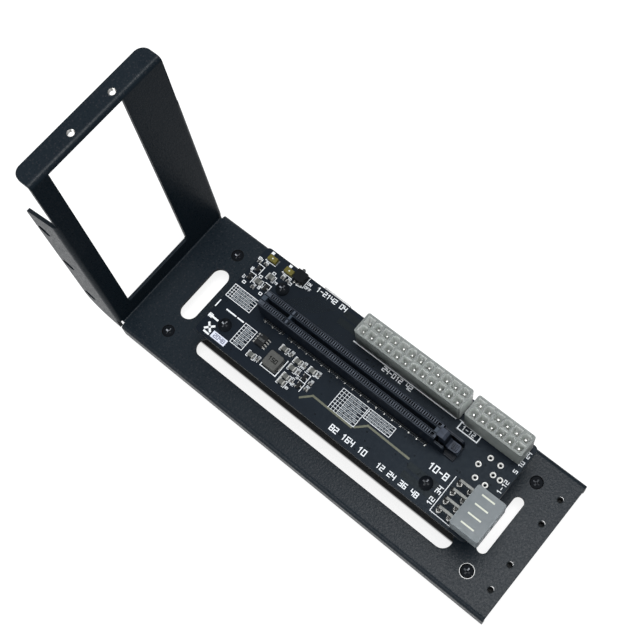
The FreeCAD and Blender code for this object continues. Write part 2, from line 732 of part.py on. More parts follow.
def link_core():
    """Moulded insulator filling the can's back, with the tongue that the plug grips."""
    x0, x1, back, mouth, low, top = link_box()
    t = link_shell
    root = mouth - 1.5 - link_tongue_depth
    base = prism([(x0 + t, low + t, 0.5), (x1 - t, low + t, 0.5), (x1 - t, top - t, 0.3),
                  (x0 + t, top - t, 0.3)], "XZ", back + t, root - back - t)
    middle_x, middle_z = (x0 + x1) / 2, (low + top) / 2
    tongue = block(middle_x - link_tongue_width / 2, middle_x + link_tongue_width / 2, root - 0.5,
                   mouth - 1.5, middle_z - link_tongue / 2, middle_z + link_tongue / 2)
    return base.fuse(tongue).removeSplitter()


def link_contact_row():
    """Thin contacts on the tongue's lower face."""
    x0, x1, back, mouth, low, top = link_box()
    face = (low + top) / 2 - link_tongue / 2
    first = (x0 + x1) / 2 - (link_contacts - 1) * link_contact_pitch / 2
    root, end = mouth - 1.5 - link_tongue_depth, mouth - 2.1
    strips = []
    for i in range(link_contacts):
        x = first + i * link_contact_pitch
        strips.append(block(x - link_contact_width / 2, x + link_contact_width / 2, root, end,
                            face - link_contact_thick, face))
    return Part.makeCompound(strips)


def on_board(place):
    """Board coordinates to the dock's frame."""
    return board_x + place[0], board_y + place[1]


def regulator_body():
    """Moulded chip body with bevelled sides, lifted on its leads."""
    x, y = on_board(chip_place)
    w, l = chip_width / 2, chip_length / 2
    z0, z1 = board_z + 0.15, board_z + 0.15 + chip_height
    middle = (z0 + z1) / 2
    outline = [(x - w + 0.12, z0, 0), (x + w - 0.12, z0, 0), (x + w, middle, 0), (x + w - 0.12, z1, 0),
               (x - w + 0.12, z1, 0), (x - w, middle, 0)]
    return prism(outline, "XZ", y - l, chip_length)


def gull_lead(x, y, side, shoulder, reach, width):
    """Z-shaped lead along X, from the body's side down to the board."""
    t = chip_lead_thick
    a = x
    b = x + side * reach * 0.4
    c = x + side * reach
    outline = [(a, shoulder - t, 0), (b, shoulder - t, 0), (b, board_z, 0), (c, board_z, 0),
               (c, board_z + t, 0), (b + side * t, board_z + t, 0), (b + side * t, shoulder, 0),
               (a, shoulder, 0)]
    return prism(outline, "XZ", y - width / 2, width)


def regulator_leads():
    """Four leads on each long side."""
    x, y = on_board(chip_place)
    shoulder = board_z + 0.15 + chip_height / 2 + chip_lead_thick / 2
    leads = []
    for side in (-1, 1):
        for i in range(4):
            lead_y = y + (i - 1.5) * chip_lead_pitch
            leads.append(gull_lead(x + side * chip_width / 2, lead_y, side, shoulder, chip_lead_reach,
                                   chip_lead_width))
    return Part.makeCompound(leads)


def inductor():
    """Pressed powder choke with chamfered corners and a domed top edge."""
    x, y = on_board(inductor_place)
    h = inductor_side / 2
    body = rounded_block(x - h, x + h, y - h, y + h, board_z + 0.2, board_z + inductor_height,
                         inductor_corner)
    top = [e for e in body.Edges if min(v.Z for v in e.Vertexes) > board_z + inductor_height - 0.01]
    return body.makeChamfer(0.35, top)


def inductor_terminals():
    """Tinned lips under two sides of the choke."""
    x, y = on_board(inductor_place)
    h = inductor_side / 2
    lips = [block(x + a, x + a + inductor_lip + 1, y - h * 0.5, y + h * 0.5, board_z, board_z + 0.2)
            for a in (-h - inductor_lip, h - 1)]
    return Part.makeCompound(lips)


def chips(places, length, width, height, cap):
    """Bodies and end caps of a family of two-ended chip parts."""
    bodies, caps = [], []
    for place in places:
        x, y = on_board(place)
        half, side = length / 2, width / 2
        bodies.append(block(x - half + cap, x + half - cap, y - side, y + side, board_z, board_z + height))
        for start in (x - half, x + half - cap):
            caps.append(block(start, start + cap, y - side, y + side, board_z, board_z + height))
    return bodies, caps


def tantalum(place):
    """Moulded capacitor with drafted sides."""
    x, y = on_board(place)
    rings = []
    for inset, z in ((0.0, board_z + part_lift), (tantalum_draft, board_z + tantalum_height)):
        l, w = tantalum_length / 2 - inset, tantalum_width / 2 - inset
        corners = [V(x - l, y - w, z), V(x + l, y - w, z), V(x + l, y + w, z), V(x - l, y + w, z)]
        rings.append(Part.makePolygon(corners + corners[:1]))
    return Part.makeLoft(rings, True, True)


def tantalum_terminals():
    """Folded tabs at both ends of each moulded capacitor."""
    tabs = []
    side_y = tantalum_tab_width / 2
    for place in tantalum_places:
        x, y = on_board(place)
        half = tantalum_length / 2
        for side in (-1, 1):
            a, b = sorted((x + side * (half - tantalum_tab_lap), x + side * (half + tantalum_foot)))
            tabs.append(block(a, b, y - side_y, y + side_y, board_z, board_z + part_lift))
    return Part.makeCompound(tabs)


def transistors():
    """Bodies and leads of the small three-lead parts."""
    bodies, leads = [], []
    for place in transistor_places:
        x, y = on_board(place)
        l, w = transistor_length / 2, transistor_width / 2
        low = board_z + part_lift
        bodies.append(block(x - w, x + w, y - l, y + l, low, low + transistor_height))
        shoulder = low + transistor_height / 2
        for side, offset in ((-1, -transistor_lead_offset), (-1, transistor_lead_offset), (1, 0.0)):
            leads.append(gull_lead(x + side * w, y + offset, side, shoulder,
                                   transistor_reach, transistor_lead))
    return Part.makeCompound(bodies), Part.makeCompound(leads)


def switch_frame():
    """Switch body's extent: x0, x1, back, face, low, top."""
    x = board_x + switch_x
    face = board_back - switch_inset
    low = board_z + part_lift
    return x - switch_length / 2, x + switch_length / 2, face - switch_depth, face, low, low + switch_height


def slider_rest():
    """Knob's middle at rest, at the near end of its travel."""
    x0, x1, back, face, low, top = switch_frame()
    return (x0 + x1) / 2 - switch_travel / 2, (low + top) / 2


def switch_body():
    """Hollow switch moulding with a window for the knob."""
    x0, x1, back, face, low, top = switch_frame()
    w = switch_wall
    body = rounded_block(x0, x1, back, face, low, top, 0.3)
    hollow = block(x0 + w, x1 - w, back + w, face - w, low + w * 0.5, top - w * 0.5)
    middle_x, middle_z = (x0 + x1) / 2, (low + top) / 2
    across = knob_width / 2 + switch_travel / 2 + switch_gap
    tall = knob_height / 2 + switch_gap
    window = block(middle_x - across, middle_x + across, face - 2 * w, face + 1,
                   middle_z - tall, middle_z + tall)
    return cut_all(body, [hollow, window])


def switch_slider():
    """Knob with the plate that keeps it inside the body."""
    x0, x1, back, face, low, top = switch_frame()
    x, z = slider_rest()
    inside = face - switch_wall - switch_gap
    plate = block(x - slider_plate / 2, x + slider_plate / 2, inside - slider_thick, inside,
                  low + switch_wall * 0.5 + switch_gap, top - switch_wall * 0.5 - switch_gap)
    knob = block(x - knob_width / 2, x + knob_width / 2, inside - 0.2, face + knob_reach,
                 z - knob_height / 2, z + knob_height / 2)
    tip = [e for e in knob.Edges if min(v.Y for v in e.Vertexes) > face + knob_reach - 0.01]
    return plate.fuse(knob.makeChamfer(0.25, tip)).removeSplitter()


def switch_legs():
    """Three terminals behind the switch body and the pads under it."""
    x0, x1, back, face, low, top = switch_frame()
    legs = []
    for i in (-1, 0, 1):
        x = (x0 + x1) / 2 + i * switch_leg_pitch
        legs.append(block(x - switch_leg / 2, x + switch_leg / 2, back - 0.8, back + 1.0, board_z, low))
    return Part.makeCompound(legs)


def build():
    """Write every node."""
    os.makedirs("parts", exist_ok=True)
    write("chassis", chassis())
    corner_names = ("near_front", "near_back", "far_front", "far_back")
    for name, (x, y) in zip(corner_names, foot_points):
        write("foot_" + name, foot(x, y))
    write("foot_inserts", Part.makeCompound([foot_insert(x, y) for x, y in foot_points]))
    write("foot_screws", Part.makeCompound([flat_screw(x, y) for x, y in foot_points]))
    write("standoffs", Part.makeCompound([standoff(x, y) for x, y in screw_points]))
    under_plate = plate_z - sheet
    from_below = [pan_screw(x, y, under_plate, False) for x, y in screw_points]
    write("standoff_screws", Part.makeCompound(from_below))
    from_above = [pan_screw(x, y, board_z, True) for x, y in screw_points]
    write("board_screws", Part.makeCompound(from_above))
    write("circuit_board", circuit_board())

    write("slot_housing", slot_housing())
    write("slot_contacts", slot_contacts())
    write("slot_latch", slot_latch())
    headers = (("main_power", main_pin_x, main_columns), ("aux_power", aux_pin_x, aux_columns))
    for name, first_x, columns in headers:
        write(name + "_header", power_header(first_x, columns))
        pins = [straight_pin(x, y) for x, y in header_pins(first_x, columns)]
        write(name + "_pins", Part.makeCompound(pins))
    write("outlet_housing", outlet_housing())
    write("outlet_pins", outlet_pins())
    write("link_shell", link_shell_can())
    write("link_core", link_core())
    write("link_contacts", link_contact_row())

    write("regulator_body", regulator_body())
    write("regulator_leads", regulator_leads())
    write("inductor", inductor())
    write("inductor_terminals", inductor_terminals())
    bodies, caps = chips(capacitor_places, capacitor_length, capacitor_width, capacitor_height, capacitor_cap)
    write("capacitor_bodies", Part.makeCompound(bodies))
    write("capacitor_caps", Part.makeCompound(caps))
    bodies, caps = chips(small_places, small_length, small_width, small_height, small_cap)
    write("resistor_bodies", Part.makeCompound(bodies))
    write("resistor_caps", Part.makeCompound(caps))
    for i, place in enumerate(tantalum_places):
        write("tantalum_%d" % (i + 1), tantalum(place))
    write("tantalum_terminals", tantalum_terminals())
    bodies, leads = transistors()
    write("transistor_bodies", bodies)
    write("transistor_leads", leads)
    write("switch_body", switch_body())
    write("switch_legs", switch_legs())
    write("switch_slider", switch_slider())


build()
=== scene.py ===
"""Looks of the graphics-card dock: finishes, board print, solder, wear and some painted light and shade, on a
white table.

Lengths are in millimetres, except where a comment says metres; the scene itself is in metres.
Places on the board are measured from its front corner by the upright, as in the part's source.
"""
import json
import math
import random

import bmesh
import bpy
from mathutils import Euler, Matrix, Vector


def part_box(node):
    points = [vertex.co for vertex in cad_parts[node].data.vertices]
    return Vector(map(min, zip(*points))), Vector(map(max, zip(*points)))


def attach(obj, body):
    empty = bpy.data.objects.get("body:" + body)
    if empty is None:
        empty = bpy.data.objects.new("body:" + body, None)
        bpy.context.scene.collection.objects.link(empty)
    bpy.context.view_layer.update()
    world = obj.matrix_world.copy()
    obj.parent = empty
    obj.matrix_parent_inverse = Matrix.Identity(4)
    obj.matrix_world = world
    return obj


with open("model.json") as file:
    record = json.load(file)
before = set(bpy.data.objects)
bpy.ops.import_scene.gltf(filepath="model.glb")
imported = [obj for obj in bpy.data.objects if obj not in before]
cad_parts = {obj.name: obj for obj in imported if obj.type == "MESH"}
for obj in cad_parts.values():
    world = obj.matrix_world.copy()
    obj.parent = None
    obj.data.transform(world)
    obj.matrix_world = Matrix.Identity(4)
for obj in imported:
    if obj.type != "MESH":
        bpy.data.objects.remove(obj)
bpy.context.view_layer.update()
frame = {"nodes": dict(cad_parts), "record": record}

MM = 0.001
dice = random.Random(7)

# Camera, fitted to the photograph
camera_eye = (125.78, -88.02, 462.21)
camera_turn = (21.609, 4.931, 40.192)           # degrees about X, Y and Z
camera_sensor = 36.0
camera_lens = 64.816
camera_shift = (-0.01145, -0.00178)             # shares of the sensor's width
camera_clip = (0.01, 20.0)                      # metres

# Light; a lamp's level is the brightness that a white face turned to the lamp takes from it
sky_colour = (0.96, 0.985, 1.0, 1.0)
sky_lean = (0.12, 0.2, 1.0)                     # direction of the bright middle of the sky
sky_bright = 1.9
sky_dim = 0.33                                  # away from that middle
sky_fade = (0.8, 0.985)                         # cosines of the angles where dim ends and bright begins
lamp_target = (0.0, 0.0, 0.03)                  # metres, as are the places and sizes of the lamps
key_level = 0.5
key_place = (0.1, 0.1, 1.0)
key_size = 0.45
fill_level = 0.45
fill_place = (-0.15, -0.85, 0.5)
fill_size = 0.6
back_level = 0.25
back_place = (-0.75, 0.65, 0.25)
back_size = 0.6

# Table
table_half = 3.0                                # metres
table_drop = 0.05                               # below the feet
table_shade = 0.28
table_lift = 0.84                               # added where the table is seen directly
shadow_shade = 0.1                              # under the board, where nothing is added
shadow_inset = 2.0                              # from the board's front edge back to its shadow
shadow_reach = 14.0                             # of the shadow past the board's end by the upright
shadow_soft = 0.8

# Places on the board
board_low, board_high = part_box("circuit_board")
board_top = board_high.z / MM
board_under = board_low.z / MM
board_corner = (board_low.x / MM, board_low.y / MM)
slot_low, slot_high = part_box("slot_housing")
slot_middle = (slot_low.y + slot_high.y) / 2 / MM
slot_key = board_corner[0] + 31.8               # middle of the bar across the slot
key_half = 0.4
key_reach = 1.2                                 # from its middle to the nearest contacts
inner_flat = (1.0, 1.5)                         # flats beside the contacts, from the slot's middle
outer_flat = (3.1, 3.4)
front_row = slot_middle - 3.0                   # contacts that begin before this are in the front row
contact_foot = 0.9                              # length of a contact's foot on the board
pins_low, pins_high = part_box("main_power_pins")
cell_reach = 1.5                                # from a row of pins to its outer wall
header_rows = (pins_low.y / MM - cell_reach, pins_high.y / MM + cell_reach)
outlet_low, outlet_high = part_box("outlet_housing")
outlet_wall = 1.0
outlet_rows = (outlet_low.y / MM + outlet_wall, outlet_high.y / MM - outlet_wall)
outlet_tail = 0.55                              # from a bent pin's end to the middle of its tail
spare_holes = [(125.8, 31.9), (130.5, 31.9), (123.6, 27.2), (130.5, 27.2), (133.7, 27.2), (125.8, 22.2),
               (130.5, 22.2)]
yellow_parts = ("tantalum_1", "tantalum_2")

# Print and copper on the board
print_thick = 0.03
line_width = 0.26
crossing_step = 0.002                           # between strokes that cross
label_thick = 0.1
gold_width = 0.85
trace_thick = 0.02
trace_width = 0.14
link_width = 0.16

# Places on the chassis
sheet = 1.5
plate_top = 10.5
plate_under = plate_top - sheet
ledge_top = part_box("chassis")[1].z / MM
ledge_holes = [(-92.4, 11.8), (-92.4, -8.52)]
ledge_hole_radius = 1.5
end_holes = [(101.3, -22.35), (101.3, -10.16), (101.3, 10.16), (101.3, 22.35)]
end_hole_radius = 1.25
countersink = 2.66                              # radius at the plate's face


# Material helpers

def new_material(name):
    """Empty material with its node tree and main shader."""
    material = bpy.data.materials.new(name)
    material.use_nodes = True
    tree = material.node_tree
    return material, tree, tree.nodes["Principled BSDF"]


def put(tree, value, socket):
    """An output linked into an input, or a plain value set there."""
    if isinstance(value, bpy.types.NodeSocket):
        tree.links.new(value, socket)
    else:
        socket.default_value = value


def add(tree, kind, **settings):
    """New node, with inputs and properties set by name."""
    made = tree.nodes.new(kind)
    for key, value in settings.items():
        title = key.replace("_", " ")
        if title in made.inputs:
            put(tree, value, made.inputs[title])
        else:
            setattr(made, key, value)
    return made


def feed(tree, shader, **values):
    """Shader inputs, named with underscores for spaces, linked or set."""
    for key, value in values.items():
        put(tree, value, shader.inputs[key.replace("_", " ")])


def combine(tree, operation, *values):
    """Result of a math node on one or two values."""
    made = add(tree, "ShaderNodeMath", operation=operation)
    for value, socket in zip(values, made.inputs):
        put(tree, value, socket)
    return made.outputs[0]


def multiply(tree, a, b):
    """Product of two values."""
    return combine(tree, "MULTIPLY", a, b)


def larger(tree, a, b):
    """The larger of two values."""
    return combine(tree, "MAXIMUM", a, b)


def dot(tree, a, b):
    """Dot product of two directions."""
    made = add(tree, "ShaderNodeVectorMath", operation="DOT_PRODUCT")
    put(tree, a, made.inputs[0])
    put(tree, b, made.inputs[1])
    return made.outputs["Value"]


def object_place(tree):
    """Place of the shaded point in its object's own frame."""
    return add(tree, "ShaderNodeTexCoord").outputs["Object"]


def face_normal(tree):
    """Normal of the face, without bumps."""
    return add(tree, "ShaderNodeNewGeometry").outputs["Normal"]


def split(tree, vector):
    """The parts X, Y and Z of a vector."""
    return add(tree, "ShaderNodeSeparateXYZ", Vector=vector).outputs


def grain(tree, size, detail=3.0):
    """Noise whose features are about size millimetres wide."""
    noise = add(tree, "ShaderNodeTexNoise", Vector=object_place(tree), Scale=1 / (size * MM), Detail=detail,
                Roughness=0.55)
    return noise.outputs["Fac"]


def spread(tree, value, low, high, out_low=0.0, out_high=1.0):
    """Value stretched from one range to another and clamped."""
    mapped = add(tree, "ShaderNodeMapRange", Value=value, From_Min=low, From_Max=high, To_Min=out_low,
                 To_Max=out_high)
    return mapped.outputs["Result"]


def fade(tree, mask, off, on):
    """The first number where a mask is nought, the second where it is one."""
    return spread(tree, mask, 0.0, 1.0, off, on)


def between(tree, value, low, high, soft=0.02):
    """One where a value lies between two limits in millimetres, nought elsewhere."""
    above = spread(tree, value, low * MM, (low + soft) * MM)
    below = spread(tree, value, high * MM, (high - soft) * MM)
    return multiply(tree, above, below)


def blend(tree, factor, low, high):
    """Colour between two colours; either may be a socket."""
    mix = add(tree, "ShaderNodeMix", data_type="RGBA", Factor=factor)
    for socket, colour in ((mix.inputs[6], low), (mix.inputs[7], high)):
        put(tree, (*colour, 1.0) if isinstance(colour, tuple) else colour, socket)
    return mix.outputs[2]


def edge_mask(tree, radius):
    """One on edges, nought on flat faces, and the normal with those edges rounded."""
    rounded = add(tree, "ShaderNodeBevel", samples=4, Radius=radius * MM).outputs["Normal"]
    return spread(tree, dot(tree, rounded, face_normal(tree)), 0.99, 0.8), rounded


def relief(tree, shader, heights, normal=None):
    """Chain of bumps from (height socket, depth in millimetres, strength)."""
    for height, depth, strength in heights:
        bump = add(tree, "ShaderNodeBump", Strength=strength, Distance=depth * MM, Height=height)
        if normal is not None:
            put(tree, normal, bump.inputs["Normal"])
        normal = bump.outputs["Normal"]
    feed(tree, shader, Normal=normal)


# Finishes in general

def finish(name, dark, light, patch, fine, rough, metallic=0.0, edge=None, edge_light=None, **values):
    """Patchy colour, uneven roughness, fine relief and, if asked, rounded lighter edges."""
    material, tree, shader = new_material(name)
    broad = spread(tree, grain(tree, patch), 0.3, 0.7)
    small = grain(tree, fine, detail=4.0)
    colour = blend(tree, multiply(tree, broad, spread(tree, small, 0.2, 0.8)), dark, light)
    normal = None
    if edge:
        mask, normal = edge_mask(tree, edge)
        worn = spread(tree, grain(tree, patch * 0.4), 0.25, 0.75)
        colour = blend(tree, multiply(tree, mask, worn), colour, edge_light)
    feed(tree, shader, Base_Color=colour, Metallic=metallic,
         Roughness=spread(tree, small, 0.25, 0.75, *rough), **values)
    relief(tree, shader, [(small, 0.02, 0.4)], normal)
    return material


def powder_coat():
    """Textured black powder coat with a fine sparkle; it lies smoother, and shines more, on upward faces."""
    material, tree, shader = new_material("black_powder_coat")
    fleck = add(tree, "ShaderNodeTexVoronoi", Vector=object_place(tree), Scale=1 / (0.8 * MM), Randomness=1.0)
    sparkle = spread(tree, fleck.outputs["Distance"], 0.5, 0.2)
    pick = add(tree, "ShaderNodeSeparateColor", Color=fleck.outputs["Color"])
    chosen = spread(tree, pick.outputs["Red"], 0.45, 0.8)
    orange_peel = grain(tree, 0.8, detail=2.0)
    broad = spread(tree, grain(tree, 30.0, detail=2.0), 0.3, 0.7)
    colour = blend(tree, broad, (0.0058, 0.0105, 0.0155), (0.0078, 0.013, 0.0185))
    colour = blend(tree, multiply(tree, sparkle, chosen), colour, (0.02, 0.0225, 0.028))
    mask, normal = edge_mask(tree, 0.45)
    worn = spread(tree, grain(tree, 6.0), 0.35, 0.75)
    colour = blend(tree, multiply(tree, mask, worn), colour, (0.022, 0.029, 0.035))
    upward = split(tree, face_normal(tree))["Z"]
    feed(tree, shader, Base_Color=colour, Roughness=spread(tree, orange_peel, 0.3, 0.7, 0.24, 0.42),
         Specular_IOR_Level=spread(tree, upward, 0.3, 0.9, 0.03, 0.13))
    relief(tree, shader, [(orange_peel, 0.05, 0.5), (fleck.outputs["Distance"], 0.06, 0.6)], normal)
    return material


def solder_mask(name, dark, light, edge_light):
    """Black lacquer over faint glass weave."""
    material, tree, shader = new_material(name)
    weave = []
    for direction in ("X", "Y"):
        wave = add(tree, "ShaderNodeTexWave", bands_direction=direction, Vector=object_place(tree),
                   Scale=1 / (2.6 * MM), Distortion=0.6)
        weave.append(wave.outputs["Fac"])
    colour = blend(tree, spread(tree, grain(tree, 9.0), 0.3, 0.7), dark, light)
    mask, normal = edge_mask(tree, 0.15)
    colour = blend(tree, mask, colour, edge_light)
    feed(tree, shader, Base_Color=colour, Roughness=spread(tree, grain(tree, 1.2), 0.3, 0.7, 0.34, 0.46),
         Specular_IOR_Level=0.115, Specular_Tint=(0.8, 0.92, 1.0, 1.0))
    relief(tree, shader, [(multiply(tree, *weave), 0.006, 0.25)], normal)
    return material


def slot_regions(tree, place):
    """Two masks on the card slot: the flats beside its contacts, which get none of the painted top light and
    stay dark, and its groove, which gets a painted fill light.
    """
    away = combine(tree, "ABSOLUTE", combine(tree, "SUBTRACT", place["Y"], slot_middle * MM))
    flats = larger(tree, between(tree, away, *inner_flat), between(tree, away, *outer_flat))
    beside_key = [(slot_key - key_reach, slot_key - key_half), (slot_key + key_half, slot_key + key_reach)]
    for start, end in beside_key:
        strip = multiply(tree, between(tree, place["X"], start, end),
                         between(tree, away, inner_flat[0], outer_flat[1]))
        flats = larger(tree, flats, strip)
    return flats, between(tree, away, -1.0, inner_flat[0])


def top_lit_moulding(name, side, top, low, high, regions=None, hollow=None):
    """Black moulding with dark sides; its upward faces above a height, in millimetres, are painted paler in
    patches, a painted top light.

    A function may mark flats that get none of that painted light, and a hollow with a paler colour of its
    own, a painted fill light.
    """
    material, tree, shader = new_material(name)
    place = split(tree, object_place(tree))
    upward = spread(tree, split(tree, face_normal(tree))["Z"], 0.5, 0.95)
    high_up = spread(tree, place["Z"], low * MM, high * MM)
    # Painted top light: upward faces high on the moulding are painted paler, in patches.
    painted_top_light = multiply(tree, multiply(tree, upward, high_up), spread(tree, grain(tree, 3.0), 0.1, 0.6))
    shine = fade(tree, upward, 0.05, 0.2)
    if regions:
        flats, inside = regions(tree, place)
        painted_top_light = multiply(tree, painted_top_light, fade(tree, flats, 1.0, 0.0))
        shine = multiply(tree, shine, fade(tree, flats, 1.0, 0.3))
        # Painted fill light: the hollow is painted paler than the dark sides.
        side = blend(tree, inside, side, hollow)
        top = blend(tree, inside, top, hollow)
    small = grain(tree, 0.15, detail=4.0)
    feed(tree, shader, Base_Color=blend(tree, painted_top_light, side, top), Specular_IOR_Level=shine,
         Roughness=spread(tree, small, 0.25, 0.75, 0.4, 0.55))
    relief(tree, shader, [(small, 0.01, 0.3)])
    return material


def blackened_steel():
    """Screw black, dull on the flat of the head; the flanks of its recess and its rim are painted lighter and
    set shinier, a painted sheen.
    """
    material, tree, shader = new_material("black_screw")
    painted_sheen = spread(tree, split(tree, face_normal(tree))["Z"], 0.45, 0.15)
    small = grain(tree, 0.15, detail=4.0)
    colour = blend(tree, spread(tree, small, 0.3, 0.7), (0.003, 0.0042, 0.006), (0.006, 0.0078, 0.0105))
    # Painted sheen: steep faces painted lighter than the flat of the head.
    colour = blend(tree, painted_sheen, colour, (0.03, 0.034, 0.04))
    feed(tree, shader, Base_Color=colour, Roughness=fade(tree, painted_sheen, 0.5, 0.22),
         Specular_IOR_Level=fade(tree, painted_sheen, 0.04, 1.0), Metallic=fade(tree, painted_sheen, 0.0, 0.6))
    relief(tree, shader, [(small, 0.01, 0.3)], edge_mask(tree, 0.12)[1])
    return material


def nylon(name, dark, light, inside, rows):
    """Milky natural nylon; light that soaks through the walls makes its hollows between two lines y paler."""
    material, tree, shader = new_material(name)
    colour = blend(tree, spread(tree, grain(tree, 5.0), 0.3, 0.7), dark, light)
    mask, normal = edge_mask(tree, 0.3)
    colour = blend(tree, mask, colour, light)
    open_air = add(tree, "ShaderNodeAmbientOcclusion", samples=4, Distance=4.0 * MM).outputs["AO"]
    in_rows = between(tree, split(tree, object_place(tree))["Y"], *rows)
    # Painted glow: faces enclosed within the rows are painted paler, standing for light that soaks through
    # the walls.
    hollow = multiply(tree, spread(tree, open_air, 0.95, 0.45), in_rows)
    colour = blend(tree, hollow, colour, inside)
    small = grain(tree, 0.25, detail=4.0)
    feed(tree, shader, Base_Color=colour, Roughness=spread(tree, small, 0.25, 0.75, 0.38, 0.55),
         Subsurface_Weight=0.9, Subsurface_Radius=(1.0, 1.0, 1.0), Subsurface_Scale=3.0 * MM)
    relief(tree, shader, [(small, 0.01, 0.3)], normal)
    return material


# Finishes of the record's slots

finishes = {
    "black_paint": powder_coat(),
    "board_mask": solder_mask("black_solder_mask", (0.0028, 0.0052, 0.0098), (0.0045, 0.0077, 0.0135),
                              (0.05, 0.047, 0.035)),
    "header_nylon": nylon("header_nylon", (0.145, 0.162, 0.157), (0.18, 0.197, 0.19), (0.85, 0.88, 0.86),
                          header_rows),
    "outlet_nylon": nylon("outlet_nylon", (0.12, 0.143, 0.156), (0.15, 0.173, 0.186), (0.5, 0.53, 0.55),
                          outlet_rows),
    "foot_rubber": finish("foot_rubber", (0.012, 0.012, 0.012), (0.025, 0.025, 0.024), 6.0, 0.3, (0.7, 0.9),
                          edge=0.4, edge_light=(0.05, 0.05, 0.05)),
    "insert_brass": finish("insert_brass", (0.6, 0.42, 0.18), (0.75, 0.56, 0.27), 2.0, 0.2,
                           (0.25, 0.45), 1.0),
    "black_screw": blackened_steel(),
    "spacer_nickel": finish("spacer_nickel", (0.5, 0.48, 0.44), (0.7, 0.68, 0.64), 3.0, 0.2, (0.2, 0.35), 1.0,
                            edge=0.2, edge_light=(0.8, 0.79, 0.76)),
    # Painted light on the slot and the latch: paler upward faces high up, and in the slot a paler groove.
    "slot_plastic": top_lit_moulding("slot_plastic", (0.005, 0.0075, 0.012), (0.06, 0.072, 0.094),
                                    board_top + 6, board_top + 9, slot_regions, (0.03, 0.042, 0.06)),
    "latch_plastic": top_lit_moulding("latch_plastic", (0.005, 0.0075, 0.012), (0.045, 0.054, 0.075),
                                     board_top + 4, board_top + 6),
    "contact_tin": finish("contact_tin", (0.002, 0.002, 0.0025), (0.006, 0.006, 0.0065), 1.5, 0.1, (0.4, 0.6),
                          Specular_IOR_Level=0.05),
    "pin_tin": finish("pin_tin", (0.6, 0.6, 0.58), (0.85, 0.85, 0.82), 1.5, 0.1, (0.2, 0.36), 1.0,
                      edge=0.14, edge_light=(0.95, 0.95, 0.92)),
    "lead_tin": finish("lead_tin", (0.22, 0.22, 0.21), (0.38, 0.375, 0.36), 1.0, 0.08, (0.25, 0.45), 1.0),
    "shell_steel": finish("shell_steel", (0.4, 0.4, 0.4), (0.6, 0.6, 0.6), 3.0, 0.2, (0.25, 0.4), 1.0,
                          edge=0.15, edge_light=(0.8, 0.8, 0.8)),
    "contact_gold": finish("contact_gold", (0.75, 0.5, 0.18), (0.9, 0.66, 0.3), 1.0, 0.1,
                           (0.2, 0.35), 1.0),
    "core_plastic": finish("core_plastic", (0.009, 0.0105, 0.013), (0.02, 0.02, 0.022), 3.0, 0.15,
                           (0.45, 0.6)),
    "chip_plastic": finish("chip_plastic", (0.007, 0.008, 0.009), (0.015, 0.017, 0.018), 1.2, 0.08,
                           (0.5, 0.7), edge=0.12, edge_light=(0.04, 0.043, 0.047), Specular_IOR_Level=0.14),
    "inductor_powder": finish("inductor_powder", (0.06, 0.061, 0.058), (0.1, 0.101, 0.096), 1.5, 0.12,
                              (0.5, 0.75), edge=0.2, edge_light=(0.3, 0.3, 0.29), Specular_IOR_Level=0.25),
    "capacitor_ceramic": finish("capacitor_ceramic", (0.045, 0.049, 0.045), (0.09, 0.096, 0.088), 1.0, 0.08,
                                (0.35, 0.5), edge=0.15, edge_light=(0.14, 0.145, 0.13)),
    "resistor_ceramic": finish("resistor_ceramic", (0.012, 0.012, 0.014), (0.03, 0.03, 0.034), 0.6, 0.06,
                               (0.3, 0.45)),
    "tantalum_yellow": finish("tantalum_yellow", (0.085, 0.072, 0.005), (0.155, 0.13, 0.012), 1.5, 0.1,
                              (0.4, 0.6), edge=0.25, edge_light=(0.24, 0.21, 0.06), Specular_IOR_Level=0.3),
    "switch_plastic": finish("switch_plastic", (0.004, 0.005, 0.0065), (0.008, 0.0095, 0.012), 2.0, 0.1,
                             (0.4, 0.55), edge=0.15, edge_light=(0.03, 0.034, 0.042),
                             Specular_IOR_Level=0.08),
    "slider_plastic": finish("slider_plastic", (0.03, 0.03, 0.032), (0.05, 0.05, 0.052), 1.0, 0.1,
                             (0.4, 0.55), edge=0.15, edge_light=(0.12, 0.12, 0.12)),
}
aged_tin = finish("aged_tin", (0.06, 0.062, 0.06), (0.13, 0.132, 0.128), 1.5, 0.1, (0.28, 0.45), 1.0,
                  edge=0.12, edge_light=(0.6, 0.6, 0.58))
slot_of = {row["node"]: row["material_slot"] for row in frame["record"]["subparts"]}
for node_name, thing in frame["nodes"].items():
    for holder in thing.material_slots:
        holder.material = aged_tin if node_name == "outlet_pins" else finishes[slot_of[node_name]]

# Finishes of the added pieces
white_ink = finish("white_ink", (0.74, 0.77, 0.8), (0.88, 0.9, 0.92), 1.5, 0.12, (0.55, 0.75))
dim_ink = finish("dim_ink", (0.13, 0.15, 0.17), (0.36, 0.4, 0.43), 1.5, 0.12, (0.55, 0.75))
faint_ink = finish("faint_ink", (0.05, 0.055, 0.058), (0.16, 0.17, 0.175), 0.8, 0.1, (0.5, 0.7))
sticker_paper = finish("sticker_paper", (0.6, 0.63, 0.74), (0.72, 0.75, 0.84), 2.0, 0.15, (0.5, 0.7))
grey_ink = finish("grey_ink", (0.1, 0.11, 0.17), (0.2, 0.21, 0.28), 0.8, 0.1, (0.5, 0.7))
mask_over_copper = solder_mask("mask_over_copper", (0.005, 0.0075, 0.0095), (0.0075, 0.01, 0.012),
                               (0.011, 0.014, 0.016))
old_gold = finish("old_gold", (0.075, 0.08, 0.055), (0.13, 0.132, 0.085), 2.0, 0.2, (0.4, 0.55), 0.3)
solder = finish("solder", (0.3, 0.3, 0.295), (0.6, 0.6, 0.58), 0.8, 0.12, (0.18, 0.36), 1.0)
